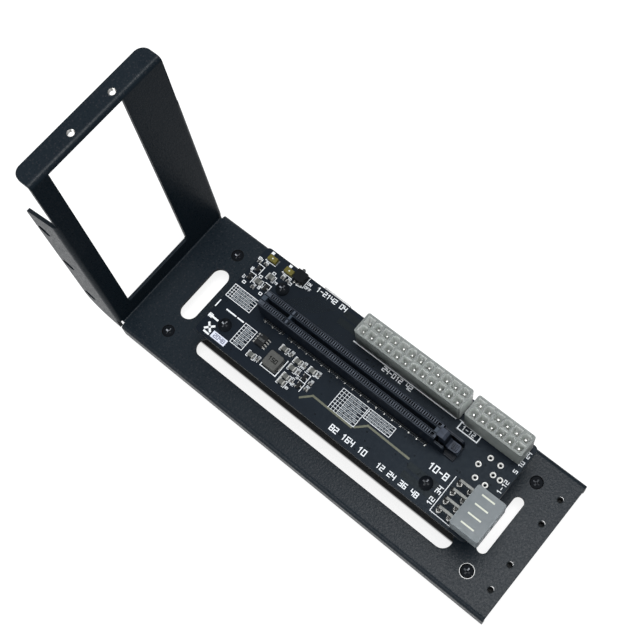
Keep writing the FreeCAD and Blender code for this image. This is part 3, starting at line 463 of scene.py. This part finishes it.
bright_tin = finish("bright_tin", (0.5, 0.5, 0.49), (0.85, 0.85, 0.83), 1.2, 0.15, (0.3, 0.45), 0.35)
dull_solder = finish("dull_solder", (0.06, 0.066, 0.07), (0.13, 0.138, 0.142), 0.8, 0.12, (0.35, 0.5), 0.4)
bare_steel = finish("bare_steel", (0.5, 0.49, 0.47), (0.75, 0.74, 0.72), 0.8, 0.1, (0.2, 0.4), 1.0)
scraped_steel = finish("scraped_steel", (0.1, 0.106, 0.12), (0.34, 0.355, 0.38), 1.0, 0.1, (0.2, 0.32), 0.8)
dull_steel = finish("dull_steel", (0.25, 0.25, 0.25), (0.42, 0.42, 0.42), 0.8, 0.1, (0.35, 0.5), 0.9)
pale_window = finish("pale_window", (0.5, 0.52, 0.43), (0.64, 0.65, 0.56), 1.2, 0.15, (0.3, 0.45))
# Black of the end holes' threads and of the dark plugs under them, which stand for shade.
plug_black = finish("plug_black", (0.007, 0.008, 0.0095), (0.016, 0.018, 0.02), 0.5, 0.1, (0.5, 0.7),
                   Specular_IOR_Level=0.3)
dark_hole = finish("dark_hole", (0.002, 0.002, 0.002), (0.006, 0.006, 0.006), 0.5, 0.1, (0.6, 0.8),
                   Specular_IOR_Level=0.05)


# Mesh helpers

def keep(name, mesh, material, body="dock", smooth=False):
    """Object from a bmesh with its finish, riding on a body."""
    data = bpy.data.meshes.new(name)
    bmesh.ops.recalc_face_normals(mesh, faces=mesh.faces)
    for face in mesh.faces:
        face.smooth = smooth
    mesh.to_mesh(data)
    mesh.free()
    data.materials.append(material)
    thing = bpy.data.objects.new(name, data)
    bpy.context.scene.collection.objects.link(thing)
    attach(thing, body)


def layers(mesh, rings):
    """Closed solid through stacked outlines, each a list of (x, y, z) with the same number of corners."""
    made = [[mesh.verts.new((x * MM, y * MM, z * MM)) for x, y, z in ring] for ring in rings]
    mesh.faces.new(made[0][::-1])
    mesh.faces.new(made[-1])
    count = len(made[0])
    for low, high in zip(made, made[1:]):
        for i in range(count):
            j = (i + 1) % count
            mesh.faces.new((low[i], low[j], high[j], high[i]))


def slab(mesh, corners, low, high):
    """Closed prism over corners (x, y) between two heights, in the part's frame."""
    layers(mesh, [[(x, y, low) for x, y in corners], [(x, y, high) for x, y in corners]])


def rectangle(x0, y0, x1, y1, z):
    """Corners of a level rectangle."""
    return [(x0, y0, z), (x1, y0, z), (x1, y1, z), (x0, y1, z)]


def around(x, y, radius, angle):
    """Point at an angle on a circle."""
    return x + radius * math.cos(angle), y + radius * math.sin(angle)


def lathe(mesh, x, y, profile, steps):
    """Ring-shaped solid turned about an upright axis from a closed profile of (radius, z)."""
    rings = []
    for i in range(steps):
        angle = 2 * math.pi * i / steps
        ring = []
        for radius, z in profile:
            px, py = around(x, y, radius, angle)
            ring.append(mesh.verts.new((px * MM, py * MM, z * MM)))
        rings.append(ring)
    count = len(profile)
    for i in range(steps):
        here, there = rings[i], rings[(i + 1) % steps]
        for j in range(count):
            k = (j + 1) % count
            mesh.faces.new((here[j], there[j], there[k], here[k]))


def spot(mesh, x, y, low, high, radius, top_radius):
    """Disc or cone standing on a face."""
    steps = 16
    angles = [2 * math.pi * i / steps for i in range(steps)]
    layers(mesh, [[(*around(x, y, r, angle), z) for angle in angles]
                  for r, z in ((radius, low), (top_radius, high))])


def box_mm(node):
    """Low and high corner of a CAD node, in millimetres."""
    return [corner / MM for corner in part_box(node)]


def islands(node):
    """Boxes (low, high) of the separate solids in a CAD node, in millimetres, ordered by place."""
    mesh = bmesh.new()
    mesh.from_mesh(frame["nodes"][node].data)
    bmesh.ops.remove_doubles(mesh, verts=mesh.verts, dist=0.001 * MM)
    seen, boxes = set(), []
    for start in mesh.verts:
        if start in seen:
            continue
        group, front = [], [start]
        seen.add(start)
        while front:
            vert = front.pop()
            group.append(vert.co / MM)
            for link in vert.link_edges:
                other = link.other_vert(vert)
                if other not in seen:
                    seen.add(other)
                    front.append(other)
        low = Vector([min(co[i] for co in group) for i in range(3)])
        high = Vector([max(co[i] for co in group) for i in range(3)])
        boxes.append((low, high))
    mesh.free()
    return sorted(boxes, key=lambda pair: tuple(round(c, 2) for c in pair[0]))


# Drawing on the board

def on_board(x, y):
    """Board coordinates to the part's frame."""
    return board_corner[0] + x, board_corner[1] + y


def board_box(low, high, grow_x=0.0, grow_y=0.0):
    """Box in the part's frame to board coordinates x0, y0, x1, y1, grown on every side."""
    return (low.x - board_corner[0] - grow_x, low.y - board_corner[1] - grow_y,
            high.x - board_corner[0] + grow_x, high.y - board_corner[1] + grow_y)


def patch(mesh, x0, y0, x1, y1, thick=print_thick):
    """Rectangle on the board."""
    corners = [on_board(x, y) for x, y in ((x0, y0), (x1, y0), (x1, y1), (x0, y1))]
    slab(mesh, corners, board_top, board_top + thick)


def stroke(mesh, points, width=line_width, low=board_top, thick=print_thick):
    """Line through points on the board, one slab to each run, each run a hair thicker than the last."""
    for i, ((ax, ay), (bx, by)) in enumerate(zip(points, points[1:])):
        run = math.hypot(bx - ax, by - ay)
        ux, uy = (bx - ax) / run * width / 2, (by - ay) / run * width / 2
        corners = [(ax - ux + uy, ay - uy - ux), (bx + ux + uy, by + uy - ux),
                   (bx + ux - uy, by + uy + ux), (ax - ux - uy, ay - uy + ux)]
        slab(mesh, [on_board(x, y) for x, y in corners], low, low + thick + i * crossing_step)


def outline(mesh, x0, y0, x1, y1, width=line_width):
    """Printed outline of a rectangle."""
    stroke(mesh, [(x0, y0), (x1, y0), (x1, y1), (x0, y1), (x0, y0)], width)


glyphs = {
    "0": [[(0, 0), (1, 0), (1, 1), (0, 1), (0, 0)]],
    "1": [[(0.2, 0.8), (0.6, 1), (0.6, 0)]],
    "2": [[(0, 1), (1, 1), (1, 0.5), (0, 0.5), (0, 0), (1, 0)]],
    "3": [[(0, 1), (1, 1), (1, 0), (0, 0)], [(0.2, 0.5), (1, 0.5)]],
    "4": [[(0, 1), (0, 0.5), (1, 0.5)], [(1, 1), (1, 0)]],
    "5": [[(1, 1), (0, 1), (0, 0.5), (1, 0.5), (1, 0), (0, 0)]],
    "6": [[(1, 1), (0, 1), (0, 0), (1, 0), (1, 0.5), (0, 0.5)]],
    "7": [[(0, 1), (1, 1), (0.4, 0)]],
    "8": [[(0, 0), (1, 0), (1, 1), (0, 1), (0, 0)], [(0, 0.5), (1, 0.5)]],
    "9": [[(0, 0), (1, 0), (1, 1), (0, 1), (0, 0.5), (1, 0.5)]],
    "-": [[(0.1, 0.5), (0.9, 0.5)]],
    "O": [[(0, 0), (1, 0), (1, 1), (0, 1), (0, 0)]],
    "N": [[(0, 0), (0, 1), (1, 0), (1, 1)]],
    "F": [[(0, 0), (0, 1), (1, 1)], [(0, 0.5), (0.8, 0.5)]],
}


def lettering(mesh, text, x, y, height, turned=False, weight=0.19, low=board_top):
    """Plain figures in strokes, reading along X, or along Y when turned; other marks leave a gap."""
    wide, pitch = height * 0.6, height * 0.92
    for i, mark in enumerate(text):
        for j, line in enumerate(glyphs.get(mark, [])):
            placed = []
            for a, b in line:
                across, up = i * pitch + a * wide, b * height
                placed.append((x - up, y + across) if turned else (x + across, y + up))
            stroke(mesh, placed, height * weight, low, print_thick + j * 6 * crossing_step)


def figures(count):
    """That many plain figures, the same on every run."""
    return "".join(dice.choice("0123456789") for i in range(count))


# Board print

tables = (                                      # x0, y0, x1, y1, narrow columns, rows
    (0.5, 19.0, 13.4, 25.2, 2, 5),
    (15.4, 4.9, 21.6, 14.8, 1, 7),
    (64.2, 8.6, 77.2, 18.4, 3, 7),
    (77.8, 13.9, 90.6, 18.4, 1, 4),
)
table_line = 0.16
word_lengths = (0.9, 2.6)
word_gap = 0.35
word_band = (0.28, 0.72)                        # shares of a row's height
table_margins = (0.4, 0.3)                      # before the first word and after the last
printed_frames = (                              # x0, y0, x1, y1, width
    (108.7, 33.3, 118.0, 36.3, 0.5),
    (0.9, 7.9, 2.5, 9.3, 0.35),
)
rules = (                                       # points, width
    ([(54.7, 36.05), (105.9, 36.05)], 0.5),
    ([(107.6, 36.6), (134.9, 36.6), (134.9, 45.6)], line_width),
    ([(22.0, 45.6), (22.6, 40.5), (20.5, 40.2)], 0.35),
    ([(120.1, 18.0), (120.3, 1.7), (136.2, 1.4)], 0.3),
    ([(0.35, 12.9), (0.35, 16.0)], 0.5),
    ([(5.3, 14.5), (10.1, 14.5)], 0.6),
    ([(11.3, 14.5), (14.2, 14.5)], 0.6),
    ([(1.0, 8.6), (5.4, 8.5)], 0.8),
    ([(4.0, 1.9), (6.3, 1.8)], 0.8),
)
legends = (                                     # text, x, y, height, turned
    ("1-12", 110.2, 34.0, 1.7, False),
    ("1-2142 04", 28.6, 43.4, 1.9, False),
    ("24-012 42", 71.0, 33.6, 1.8, False),
    ("82 164 10", 70.2, 2.1, 2.2, False),
    ("12 24 36 48", 93.8, 1.9, 2.0, False),
    ("10-8", 109.5, 14.2, 2.5, False),
    ("12 34", 119.3, 3.2, 1.9, True),
    ("1-12", 137.0, 22.9, 1.7, True),
    ("5 10 24", 137.0, 33.0, 1.6, True),
    ("OFF", 24.0, 41.2, 1.1, False),
    ("ON", 24.0, 43.2, 1.1, False),
)
edge_pads = (3.8, 13.4)                         # middles in x of the pads behind the yellow parts
edge_pad_half = 0.7
edge_pad_ends = (44.6, 45.8)
cross_middle = (4.8, 4.4)
cross_arm = 1.9
cross_width = 0.9
small_squares = ((10.1, 38.4), (6.6, 34.0), (0.95, 40.1), (18.2, 39.0), (2.6, 28.0), (11.4, 28.2))
square_half = (0.6, 0.5)
square_line = 0.3
bracket_line = 0.22
bracket_arm = 0.9


def table(lines, words, x0, y0, x1, y1, narrow, rows):
    """Printed table: outline, ruled rows, narrow square columns, and bars that stand for words."""
    outline(lines, x0, y0, x1, y1)
    pitch = (y1 - y0) / rows
    for row in range(1, rows):
        y = y0 + row * pitch
        stroke(lines, [(x0, y), (x1, y)], table_line, board_top, print_thick - 2 * crossing_step)
    for column in range(1, narrow + 1):
        x = x0 + column * pitch
        stroke(lines, [(x, y0), (x, y1)], table_line, board_top, print_thick + 5 * crossing_step)
    for row in range(rows):
        y = y0 + row * pitch
        x = x0 + narrow * pitch + table_margins[0]
        length = dice.uniform(*word_lengths)
        while x + length < x1 - table_margins[1]:
            patch(words, x, y + word_band[0] * pitch, x + length, y + word_band[1] * pitch)
            x += length + word_gap
            length = dice.uniform(*word_lengths)


def part_print(mesh):
    """Brackets round the small parts and numbers beside them."""
    for low, high in islands("capacitor_bodies"):
        x0, y0, x1, y1 = board_box(low, high, 1.0, 0.35)
        for x, arm in ((x0, bracket_arm), (x1, -bracket_arm)):
            stroke(mesh, [(x + arm, y0), (x, y0), (x, y1), (x + arm, y1)], bracket_line)
        lettering(mesh, figures(2), x1 + 0.4, y0 + 0.3, 0.9)
    for low, high in islands("transistor_bodies"):
        x0, y0, x1, y1 = board_box(low, high, 0.9, 0.5)
        stroke(mesh, [(x0, y1), (x1, y1), (x1, y0)], 0.3)
        lettering(mesh, figures(2), x0 - 0.3, y0 - 0.2, 0.95, True)
    for low, high in islands("resistor_bodies"):
        x0, y0, x1, y1 = board_box(low, high)
        lettering(mesh, figures(2), x0 - 0.2, y1 + 0.35, 0.85)
    for node in yellow_parts:
        x0, y0, x1, y1 = board_box(*box_mm(node), 0.0, 0.45)
        stroke(mesh, [(x0, y0 + 0.8), (x0 - 0.5, y0), (x1 + 0.3, y0)], bracket_line)
        lettering(mesh, figures(2), x0 + 0.4, y0 - 1.5, 1.0)
    x0, y0, x1, y1 = board_box(*box_mm("switch_body"))
    stroke(mesh, [(x1 - 1.5, y0 - 0.5), (x1 + 0.5, y0 - 0.5), (x1 + 0.5, y1)], 0.25)
    x0, y0, x1, y1 = board_box(*box_mm("inductor"), 0.6, 0.6)
    stroke(mesh, [(x0, y0 + 2.0), (x0, y0), (x1, y0), (x1, y1)], 0.4)


def printed_white():
    """All white print on the board; the words of the tables are a dimmer piece."""
    mesh, words = bmesh.new(), bmesh.new()
    for place in tables:
        table(mesh, words, *place)
    keep("printed_tables", words, dim_ink)
    for place in printed_frames:
        outline(mesh, *place)
    for points, width in rules:
        stroke(mesh, points, width)
    for legend in legends:
        lettering(mesh, *legend)
    for x in edge_pads:
        patch(mesh, x - edge_pad_half, edge_pad_ends[0], x + edge_pad_half, edge_pad_ends[1])
    for turn in (45, 135):
        ends = [around(*cross_middle, reach, math.radians(turn)) for reach in (-cross_arm, cross_arm)]
        stroke(mesh, ends, cross_width)
    half_x, half_y = square_half
    for x, y in small_squares:
        outline(mesh, x - half_x, y - half_y, x + half_x, y + half_y, square_line)
    part_print(mesh)
    keep("printed_white", mesh, white_ink)


def printed_gold():
    """Two bent lines of uncovered copper in front of the slot."""
    mesh = bmesh.new()
    for points in ([(53.1, 4.7), (56.75, 8.4), (76.5, 8.0)], [(77.8, 8.9), (81.4, 12.5), (101.7, 12.2)]):
        stroke(mesh, points, gold_width)
    keep("copper_lines", mesh, old_gold)


def sticker():
    """Paper label with plain figures."""
    mesh = bmesh.new()
    patch(mesh, 7.4, 1.5, 14.9, 4.5, label_thick)
    keep("paper_label", mesh, sticker_paper)
    mesh = bmesh.new()
    lettering(mesh, "2048", 8.6, 2.2, 1.6, weight=0.2, low=board_top + label_thick)
    keep("label_marks", mesh, grey_ink)


# Copper, solder and holes

def skirt(mesh, low, high, reach, climb):
    """Concave solder fillet around the foot of a box, standing on the board."""
    rings = []
    for out, up in ((reach, 0.0), (reach * 0.45, 0.3), (reach * 0.12, 0.7), (0.015, 1.0)):
        rings.append(rectangle(low.x - out, low.y - out, high.x + out, high.y + out, board_top + climb * up))
    layers(mesh, rings)


def soldered_feet():
    """Fillets at every surface-mounted foot and collars at every pin under the board."""
    mesh = bmesh.new()
    for node, reach, climb in (("capacitor_caps", 0.2, 0.6), ("resistor_caps", 0.16, 0.3),
                               ("switch_legs", 0.2, 0.12), ("transistor_leads", 0.14, 0.16),
                               ("regulator_leads", 0.14, 0.16)):
        for low, high in islands(node):
            skirt(mesh, low, high, reach, climb)
    keep("chip_solder", mesh, solder)
    mesh = bmesh.new()
    for low, high in islands("slot_contacts"):
        if low.y < front_row:
            high.y = low.y + contact_foot
        else:
            low.y = high.y - contact_foot
        skirt(mesh, low, high, 0.16, 0.26)
    for low, high in islands("tantalum_terminals"):
        skirt(mesh, low, high, 0.2, 0.12)
    keep("slot_solder", mesh, dull_solder)
    mesh = bmesh.new()
    pin, pad = 0.5, 1.25
    collar = [(pin, board_under), (pad, board_under), (0.95, board_under - 0.35), (0.72, board_under - 1.2),
              (pin, board_under - 1.3)]
    for node in ("main_power_pins", "aux_power_pins", "outlet_pins"):
        for low, high in islands(node):
            x = low.x + outlet_tail if node == "outlet_pins" else (low.x + high.x) / 2
            lathe(mesh, x, (low.y + high.y) / 2, collar, 20)
    keep("pin_solder", mesh, solder, smooth=True)


def bright_pads():
    """Larger solder pads on the slot's front feet, one in four, and rings round the outlet's tails."""
    mesh = bmesh.new()
    front_feet = [low for low, high in islands("slot_contacts") if low.y < front_row]
    half_front, half_back, thick = 0.3, 0.22, 0.28
    for low in front_feet[1::4]:
        middle, front, back = low.x + 0.16, low.y - 0.6, low.y + 0.4
        corners = [(middle - half_front, front), (middle + half_front, front), (middle + half_back, back),
                   (middle - half_back, back)]
        slab(mesh, corners, board_top, board_top + thick)
    keep("ground_pads", mesh, solder)
    mesh = bmesh.new()
    tail, pad = 0.6, 1.35
    ring = [(tail, board_top), (pad, board_top), (1.25, board_top + 0.12), (0.95, board_top + 0.25),
            (tail, board_top + 0.3)]
    for low, high in islands("outlet_pins"):
        lathe(mesh, low.x + outlet_tail, (low.y + high.y) / 2, ring, 28)
    keep("outlet_rings", mesh, solder, smooth=True)


def plated_holes():
    """Tinned rings on both faces of the spare holes, with a lining."""
    mesh = bmesh.new()
    bore, hole, pad = 0.62, 0.7, 1.25
    lining = [(bore, board_under - 0.03), (pad, board_under - 0.05), (pad, board_under), (hole, board_under),
              (hole, board_top), (pad, board_top), (pad - 0.03, board_top + 0.05), (bore, board_top + 0.12)]
    for place in spare_holes:
        lathe(mesh, *on_board(*place), lining, 28)
    keep("plated_rings", mesh, bright_tin, smooth=True)


crowded = ("regulator_body", "inductor", "capacitor_caps", "resistor_caps", *yellow_parts, "transistor_leads",
           "switch_body", "slot_housing", "slot_contacts", "main_power_header", "aux_power_header",
           "outlet_housing", "outlet_pins", "board_screws")
stitch_count = 70
stitch_field = ((2, 135), (2, 44))              # reach in x and in y
stitch_gap = 0.9                                # from a small hole's middle to the nearest part


def stitching():
    """Small covered through-holes scattered over the bare parts of the board."""
    taken = [pair for node in crowded for pair in islands(node)]
    mesh = bmesh.new()
    ring = [(0.14, board_top), (0.34, board_top), (0.3, board_top + 0.03), (0.18, board_top + 0.03)]
    placed = 0
    while placed < stitch_count:
        x, y = on_board(*[dice.uniform(*reach) for reach in stitch_field])
        if any(low.x - stitch_gap < x < high.x + stitch_gap and low.y - stitch_gap < y < high.y + stitch_gap
               for low, high in taken):
            continue
        lathe(mesh, x, y, ring, 12)
        placed += 1
    keep("stitch_holes", mesh, mask_over_copper, smooth=True)


def copper_relief():
    """Copper under the mask: lines to the link receptacle, short runs from contacts, areas at the pins."""
    mesh = bmesh.new()
    back_feet, front_feet, back_edge = 31.2, 19.6, 44.8
    for i in range(12):
        x = 21.4 + i * 1.0
        end = 30.4 + i * 1.05
        bend = 32.4 + i * 0.12
        line = [(x, back_feet), (x, bend), (end, bend + (end - x)), (end, back_edge)]
        stroke(mesh, line, link_width, board_top, trace_thick)
    for i in range(30):
        x = 38.8 + i * 1.9
        run = [(x, back_feet), (x, 32.6), (x + 0.9, 33.5), (x + 0.9, 35.4)]
        stroke(mesh, run, trace_width, board_top, trace_thick)
    for i in range(22):
        x = 56.3 + i * 2.1
        half_drop = (2.4 + (i % 3) * 0.5) / 2
        run = [(x, front_feet), (x, 20.1 - half_drop), (x + 0.8, 19.3 - half_drop)]
        stroke(mesh, run, trace_width, board_top, trace_thick)
    half_area = 1.4
    for y, start, end in ((39.4, 44.0, 55.0), (43.2, 44.0, 55.0), (6.2, 103.0, 119.0), (10.4, 103.0, 119.0)):
        patch(mesh, start, y - half_area, end, y + half_area, trace_thick)
    keep("copper_under_mask", mesh, mask_over_copper)


# Chassis details

def threaded(radius, top, bottom, turns):
    """Closed profile of a thread lining a hole."""
    margin, root, crest = 0.05, radius - 0.04, radius - 0.26
    pitch = (top - bottom - 2 * margin) / turns
    profile = [(radius, bottom + margin), (radius, top - 0.02)]
    for i in range(turns):
        z = top - margin - i * pitch
        profile += [(root, z), (crest, z - pitch / 2)]
    profile.append((root, bottom + margin))
    return profile


def crescent(mesh, x, y, level, radius, width):
    """Painted glint: a thin pale sickle on the far side of a hole's rim."""
    steps = 14
    first_angle, sweep = 25, 110                # degrees
    outer, inner = [], []
    for i in range(steps + 1):
        angle = math.radians(first_angle + sweep * i / steps)
        bulge = radius + 0.02 + width * math.sin(math.pi * i / steps)
        outer.append(around(x, y, bulge, angle))
        inner.append(around(x, y, radius, angle))
    slab(mesh, outer + inner[::-1], level, level + 0.02)


def tapped_holes():
    """Bright cut threads in the ledge; at the free end's holes, dark threads over dark closed plugs that
    stand for the shade under the plate, and a painted glint on each rim.
    """
    mesh = bmesh.new()
    for place in ledge_holes:
        lathe(mesh, *place, threaded(ledge_hole_radius, ledge_top, ledge_top - sheet, 4), 28)
    keep("ledge_threads", mesh, bare_steel)
    glints, threads_and_plugs = bmesh.new(), bmesh.new()
    radius, bore, axis = 2.3, 1.05, 0.02
    end = plate_under - 3.0
    # Painted shade: a dark closed plug under each end hole, standing for the shade under the plate.
    shade_plug = [(radius, plate_under), (radius, end + 0.4), (radius - 0.3, end), (axis, end), (axis, end + 0.4),
           (bore, end + 0.6), (bore, plate_under)]
    for place in end_holes:
        lathe(threads_and_plugs, *place, threaded(end_hole_radius, plate_top - 0.02, plate_under, 3), 28)
        lathe(threads_and_plugs, *place, shade_plug, 28)
        # Painted glint on the far side of each end hole's rim.
        crescent(glints, *place, plate_top, end_hole_radius + 0.02, 0.22)
    keep("threads_and_shade_plugs", threads_and_plugs, plug_black)
    keep("painted_glints", glints, dull_steel)


def shade_and_worn_rims():
    """Painted shade: a dark ring in each countersink's rim; and paint worn through to metal round one screw
    at the free end.
    """
    shade_rings, metal = bmesh.new(), bmesh.new()
    inside, edge = countersink - 0.2, countersink + 0.14
    # Painted shade: dark ring in the rim of each countersink.
    shade_profile = [(inside, plate_top - 0.18), (countersink, plate_top), (edge, plate_top),
            (edge - 0.02, plate_top + 0.015), (countersink - 0.02, plate_top + 0.015),
            (inside, plate_top - 0.16)]
    ring = [(edge, plate_top), (edge + 0.32, plate_top), (edge + 0.26, plate_top + 0.03),
            (edge + 0.04, plate_top + 0.03)]
    for low, high in islands("foot_screws"):
        x, y = (low.x + high.x) / 2, (low.y + high.y) / 2
        lathe(shade_rings, x, y, shade_profile, 48)
        if x > 0 and y < 0:
            lathe(metal, x, y, ring, 48)
    keep("countersink_shade", shade_rings, dark_hole)
    keep("worn_rim", metal, dull_steel)


def recess_flanks():
    """Sloping ends inside the arms of every cross recess that shows."""
    mesh = bmesh.new()
    half, inner, outer = 0.37, 0.4, 1.44
    floor, rise, foot = 0.88, 0.3, 0.8          # depths of the recess and of the slope's two ends
    for low, high in islands("foot_screws") + islands("board_screws"):
        x, y, face = (low.x + high.x) / 2, (low.y + high.y) / 2, high.z
        run = [(inner, face - floor), (outer, face - floor), (outer, face - rise), (inner, face - foot)]
        for turn in range(4):
            c, s = round(math.cos(turn * math.pi / 2)), round(math.sin(turn * math.pi / 2))
            layers(mesh, [[(x + r * c - across * s, y + r * s + across * c, z) for r, z in run]
                          for across in (-half, half)])
    keep("recess_flanks", mesh, scraped_steel)


ridge_count = 3
ridge_start = 3.1                               # from the latch's outer end
ridge_pitch = 0.9
ridge_level = 4.1                               # of the thumb pad, from the latch's lowest point
ridge_climb = 0.085                             # from ridge to ridge, up the pad's slope
ridge_foot = (0.28, 1.3)                        # half sizes on the pad
ridge_top = (0.14, 1.15)
ridge_height = 0.28
ridge_sink = 0.1                                # into the pad


def thumb_ridges():
    """Grip ridges across the latch's thumb pad."""
    mesh = bmesh.new()
    low, high = box_mm("slot_latch")
    middle = (low.y + high.y) / 2
    for step in range(ridge_count):
        x = high.x - ridge_start + step * ridge_pitch
        level = low.z + ridge_level + step * ridge_climb
        rings = []
        for (half_x, half_y), up in ((ridge_foot, -ridge_sink), (ridge_foot, 0.0), (ridge_top, ridge_height)):
            rings.append(rectangle(x - half_x, middle - half_y, x + half_x, middle + half_y, level + up))
        layers(mesh, rings)
    keep("thumb_ridges", mesh, finishes["latch_plastic"], body="latch")


# Marks on the larger parts

def part_marks():
    """Pale slots on the outlet's top, spots on the yellow parts, and figures on the choke and the chip."""
    mesh = bmesh.new()
    first_row, pin_pitch, start, end = 4.1, 4.2, 133.2, 138.4
    for row in range(4):
        y = first_row + row * pin_pitch
        stroke(mesh, [(start, y), (end, y)], 0.6, outlet_high.z / MM, 0.02)
    keep("outlet_slots", mesh, pale_window)
    mesh = bmesh.new()
    for node in yellow_parts:
        low, high = box_mm(node)
        spot(mesh, (low.x + high.x) / 2, (low.y + high.y) / 2, high.z, high.z + 0.05, 0.36, 0.25)
    keep("pale_spots", mesh, pale_window)
    mesh = bmesh.new()
    low, high = box_mm("inductor")
    x0, y0, x1, y1 = board_box(low, high)
    lettering(mesh, "150", (x0 + x1) / 2 - 1.9, (y0 + y1) / 2 - 0.8, 1.6, low=high.z)
    keep("choke_figures", mesh, dark_hole)
    mesh = bmesh.new()
    low, high = box_mm("regulator_body")
    x0, y0, x1, y1 = board_box(low, high)
    lettering(mesh, figures(4), x0 + 0.6, (y0 + y1) / 2 - 0.3, 0.8, low=high.z)
    spot(mesh, low.x + 0.75, high.y - 0.75, high.z, high.z + 0.01, 0.3, 0.3)
    keep("chip_figures", mesh, faint_ink)


printed_white()
printed_gold()
sticker()
soldered_feet()
bright_pads()
plated_holes()
stitching()
copper_relief()
tapped_holes()
shade_and_worn_rims()
recess_flanks()
thumb_ridges()
part_marks()


# Floor, light and camera

def seen_directly(tree):
    """One for camera, glossy and transmission rays."""
    path = add(tree, "ShaderNodeLightPath").outputs
    bounced = larger(tree, path["Is Glossy Ray"], path["Is Transmission Ray"])
    return larger(tree, path["Is Camera Ray"], bounced)


def white_stage():
    """Pale table that looks white to the camera and keeps the shadow; under the board a shadow is painted on
    it, darker and without the added white.
    """
    material, tree, shader = new_material("white_table")
    place = split(tree, object_place(tree))
    along = between(tree, place["X"], board_low.x / MM - shadow_reach, board_high.x / MM, shadow_soft)
    across = between(tree, place["Y"], board_low.y / MM + shadow_inset, board_high.y / MM, shadow_soft)
    # Painted shadow: the table under the board is set darker and gets none of the added white.
    covered = multiply(tree, along, across)
    lift = multiply(tree, fade(tree, seen_directly(tree), 0.0, table_lift), fade(tree, covered, 1.0, 0.0))
    shade = blend(tree, covered, (table_shade,) * 3, (shadow_shade,) * 3)
    feed(tree, shader, Base_Color=shade, Roughness=0.9, Specular_IOR_Level=0.0,
         Emission_Color=(1.0, 1.0, 1.0, 1.0), Emission_Strength=lift)
    data = bpy.data.meshes.new("table_top")
    corners = rectangle(-table_half, -table_half, table_half, table_half, -table_drop * MM)
    data.from_pydata(corners, [], [(0, 1, 2, 3)])
    data.materials.append(material)
    top = bpy.data.objects.new("table_top", data)
    bpy.context.scene.collection.objects.link(top)


def soft_world():
    """Sky light, brightest overhead, and white where the camera sees it."""
    world = bpy.data.worlds.new("studio")
    bpy.context.scene.world = world
    world.use_nodes = True
    tree = world.node_tree
    direction = add(tree, "ShaderNodeTexCoord").outputs["Generated"]
    overhead = dot(tree, direction, Vector(sky_lean).normalized())
    level = spread(tree, overhead, *sky_fade, sky_dim, sky_bright)
    seen = add(tree, "ShaderNodeLightPath").outputs["Is Camera Ray"]
    feed(tree, tree.nodes["Background"], Color=sky_colour, Strength=larger(tree, level, seen))


def soft_box(name, place, size, level):
    """Square area lamp facing the part, giving a white face there the asked brightness; lengths in metres."""
    lamp = bpy.data.lights.new(name, "AREA")
    lamp.size = size
    aim = Vector(lamp_target) - Vector(place)
    lamp.energy = level * (math.pi * aim.length) ** 2
    thing = bpy.data.objects.new(name, lamp)
    thing.location = place
    thing.rotation_euler = aim.to_track_quat("-Z", "Y").to_euler()
    bpy.context.scene.collection.objects.link(thing)


def photo_camera():
    """Camera at the photograph's place."""
    data = bpy.data.cameras.new("photo_camera")
    data.sensor_width = camera_sensor
    data.lens = camera_lens
    data.shift_x, data.shift_y = camera_shift
    data.clip_start, data.clip_end = camera_clip
    thing = bpy.data.objects.new("photo_camera", data)
    thing.location = [c * MM for c in camera_eye]
    thing.rotation_euler = Euler([math.radians(a) for a in camera_turn], "XYZ")
    bpy.context.scene.collection.objects.link(thing)
    bpy.context.scene.camera = thing


white_stage()
soft_world()
soft_box("key_light", key_place, key_size, key_level)
soft_box("fill_light", fill_place, fill_size, fill_level)
soft_box("back_light", back_place, back_size, back_level)
photo_camera()
bpy.context.scene.view_settings.view_transform = "Standard"
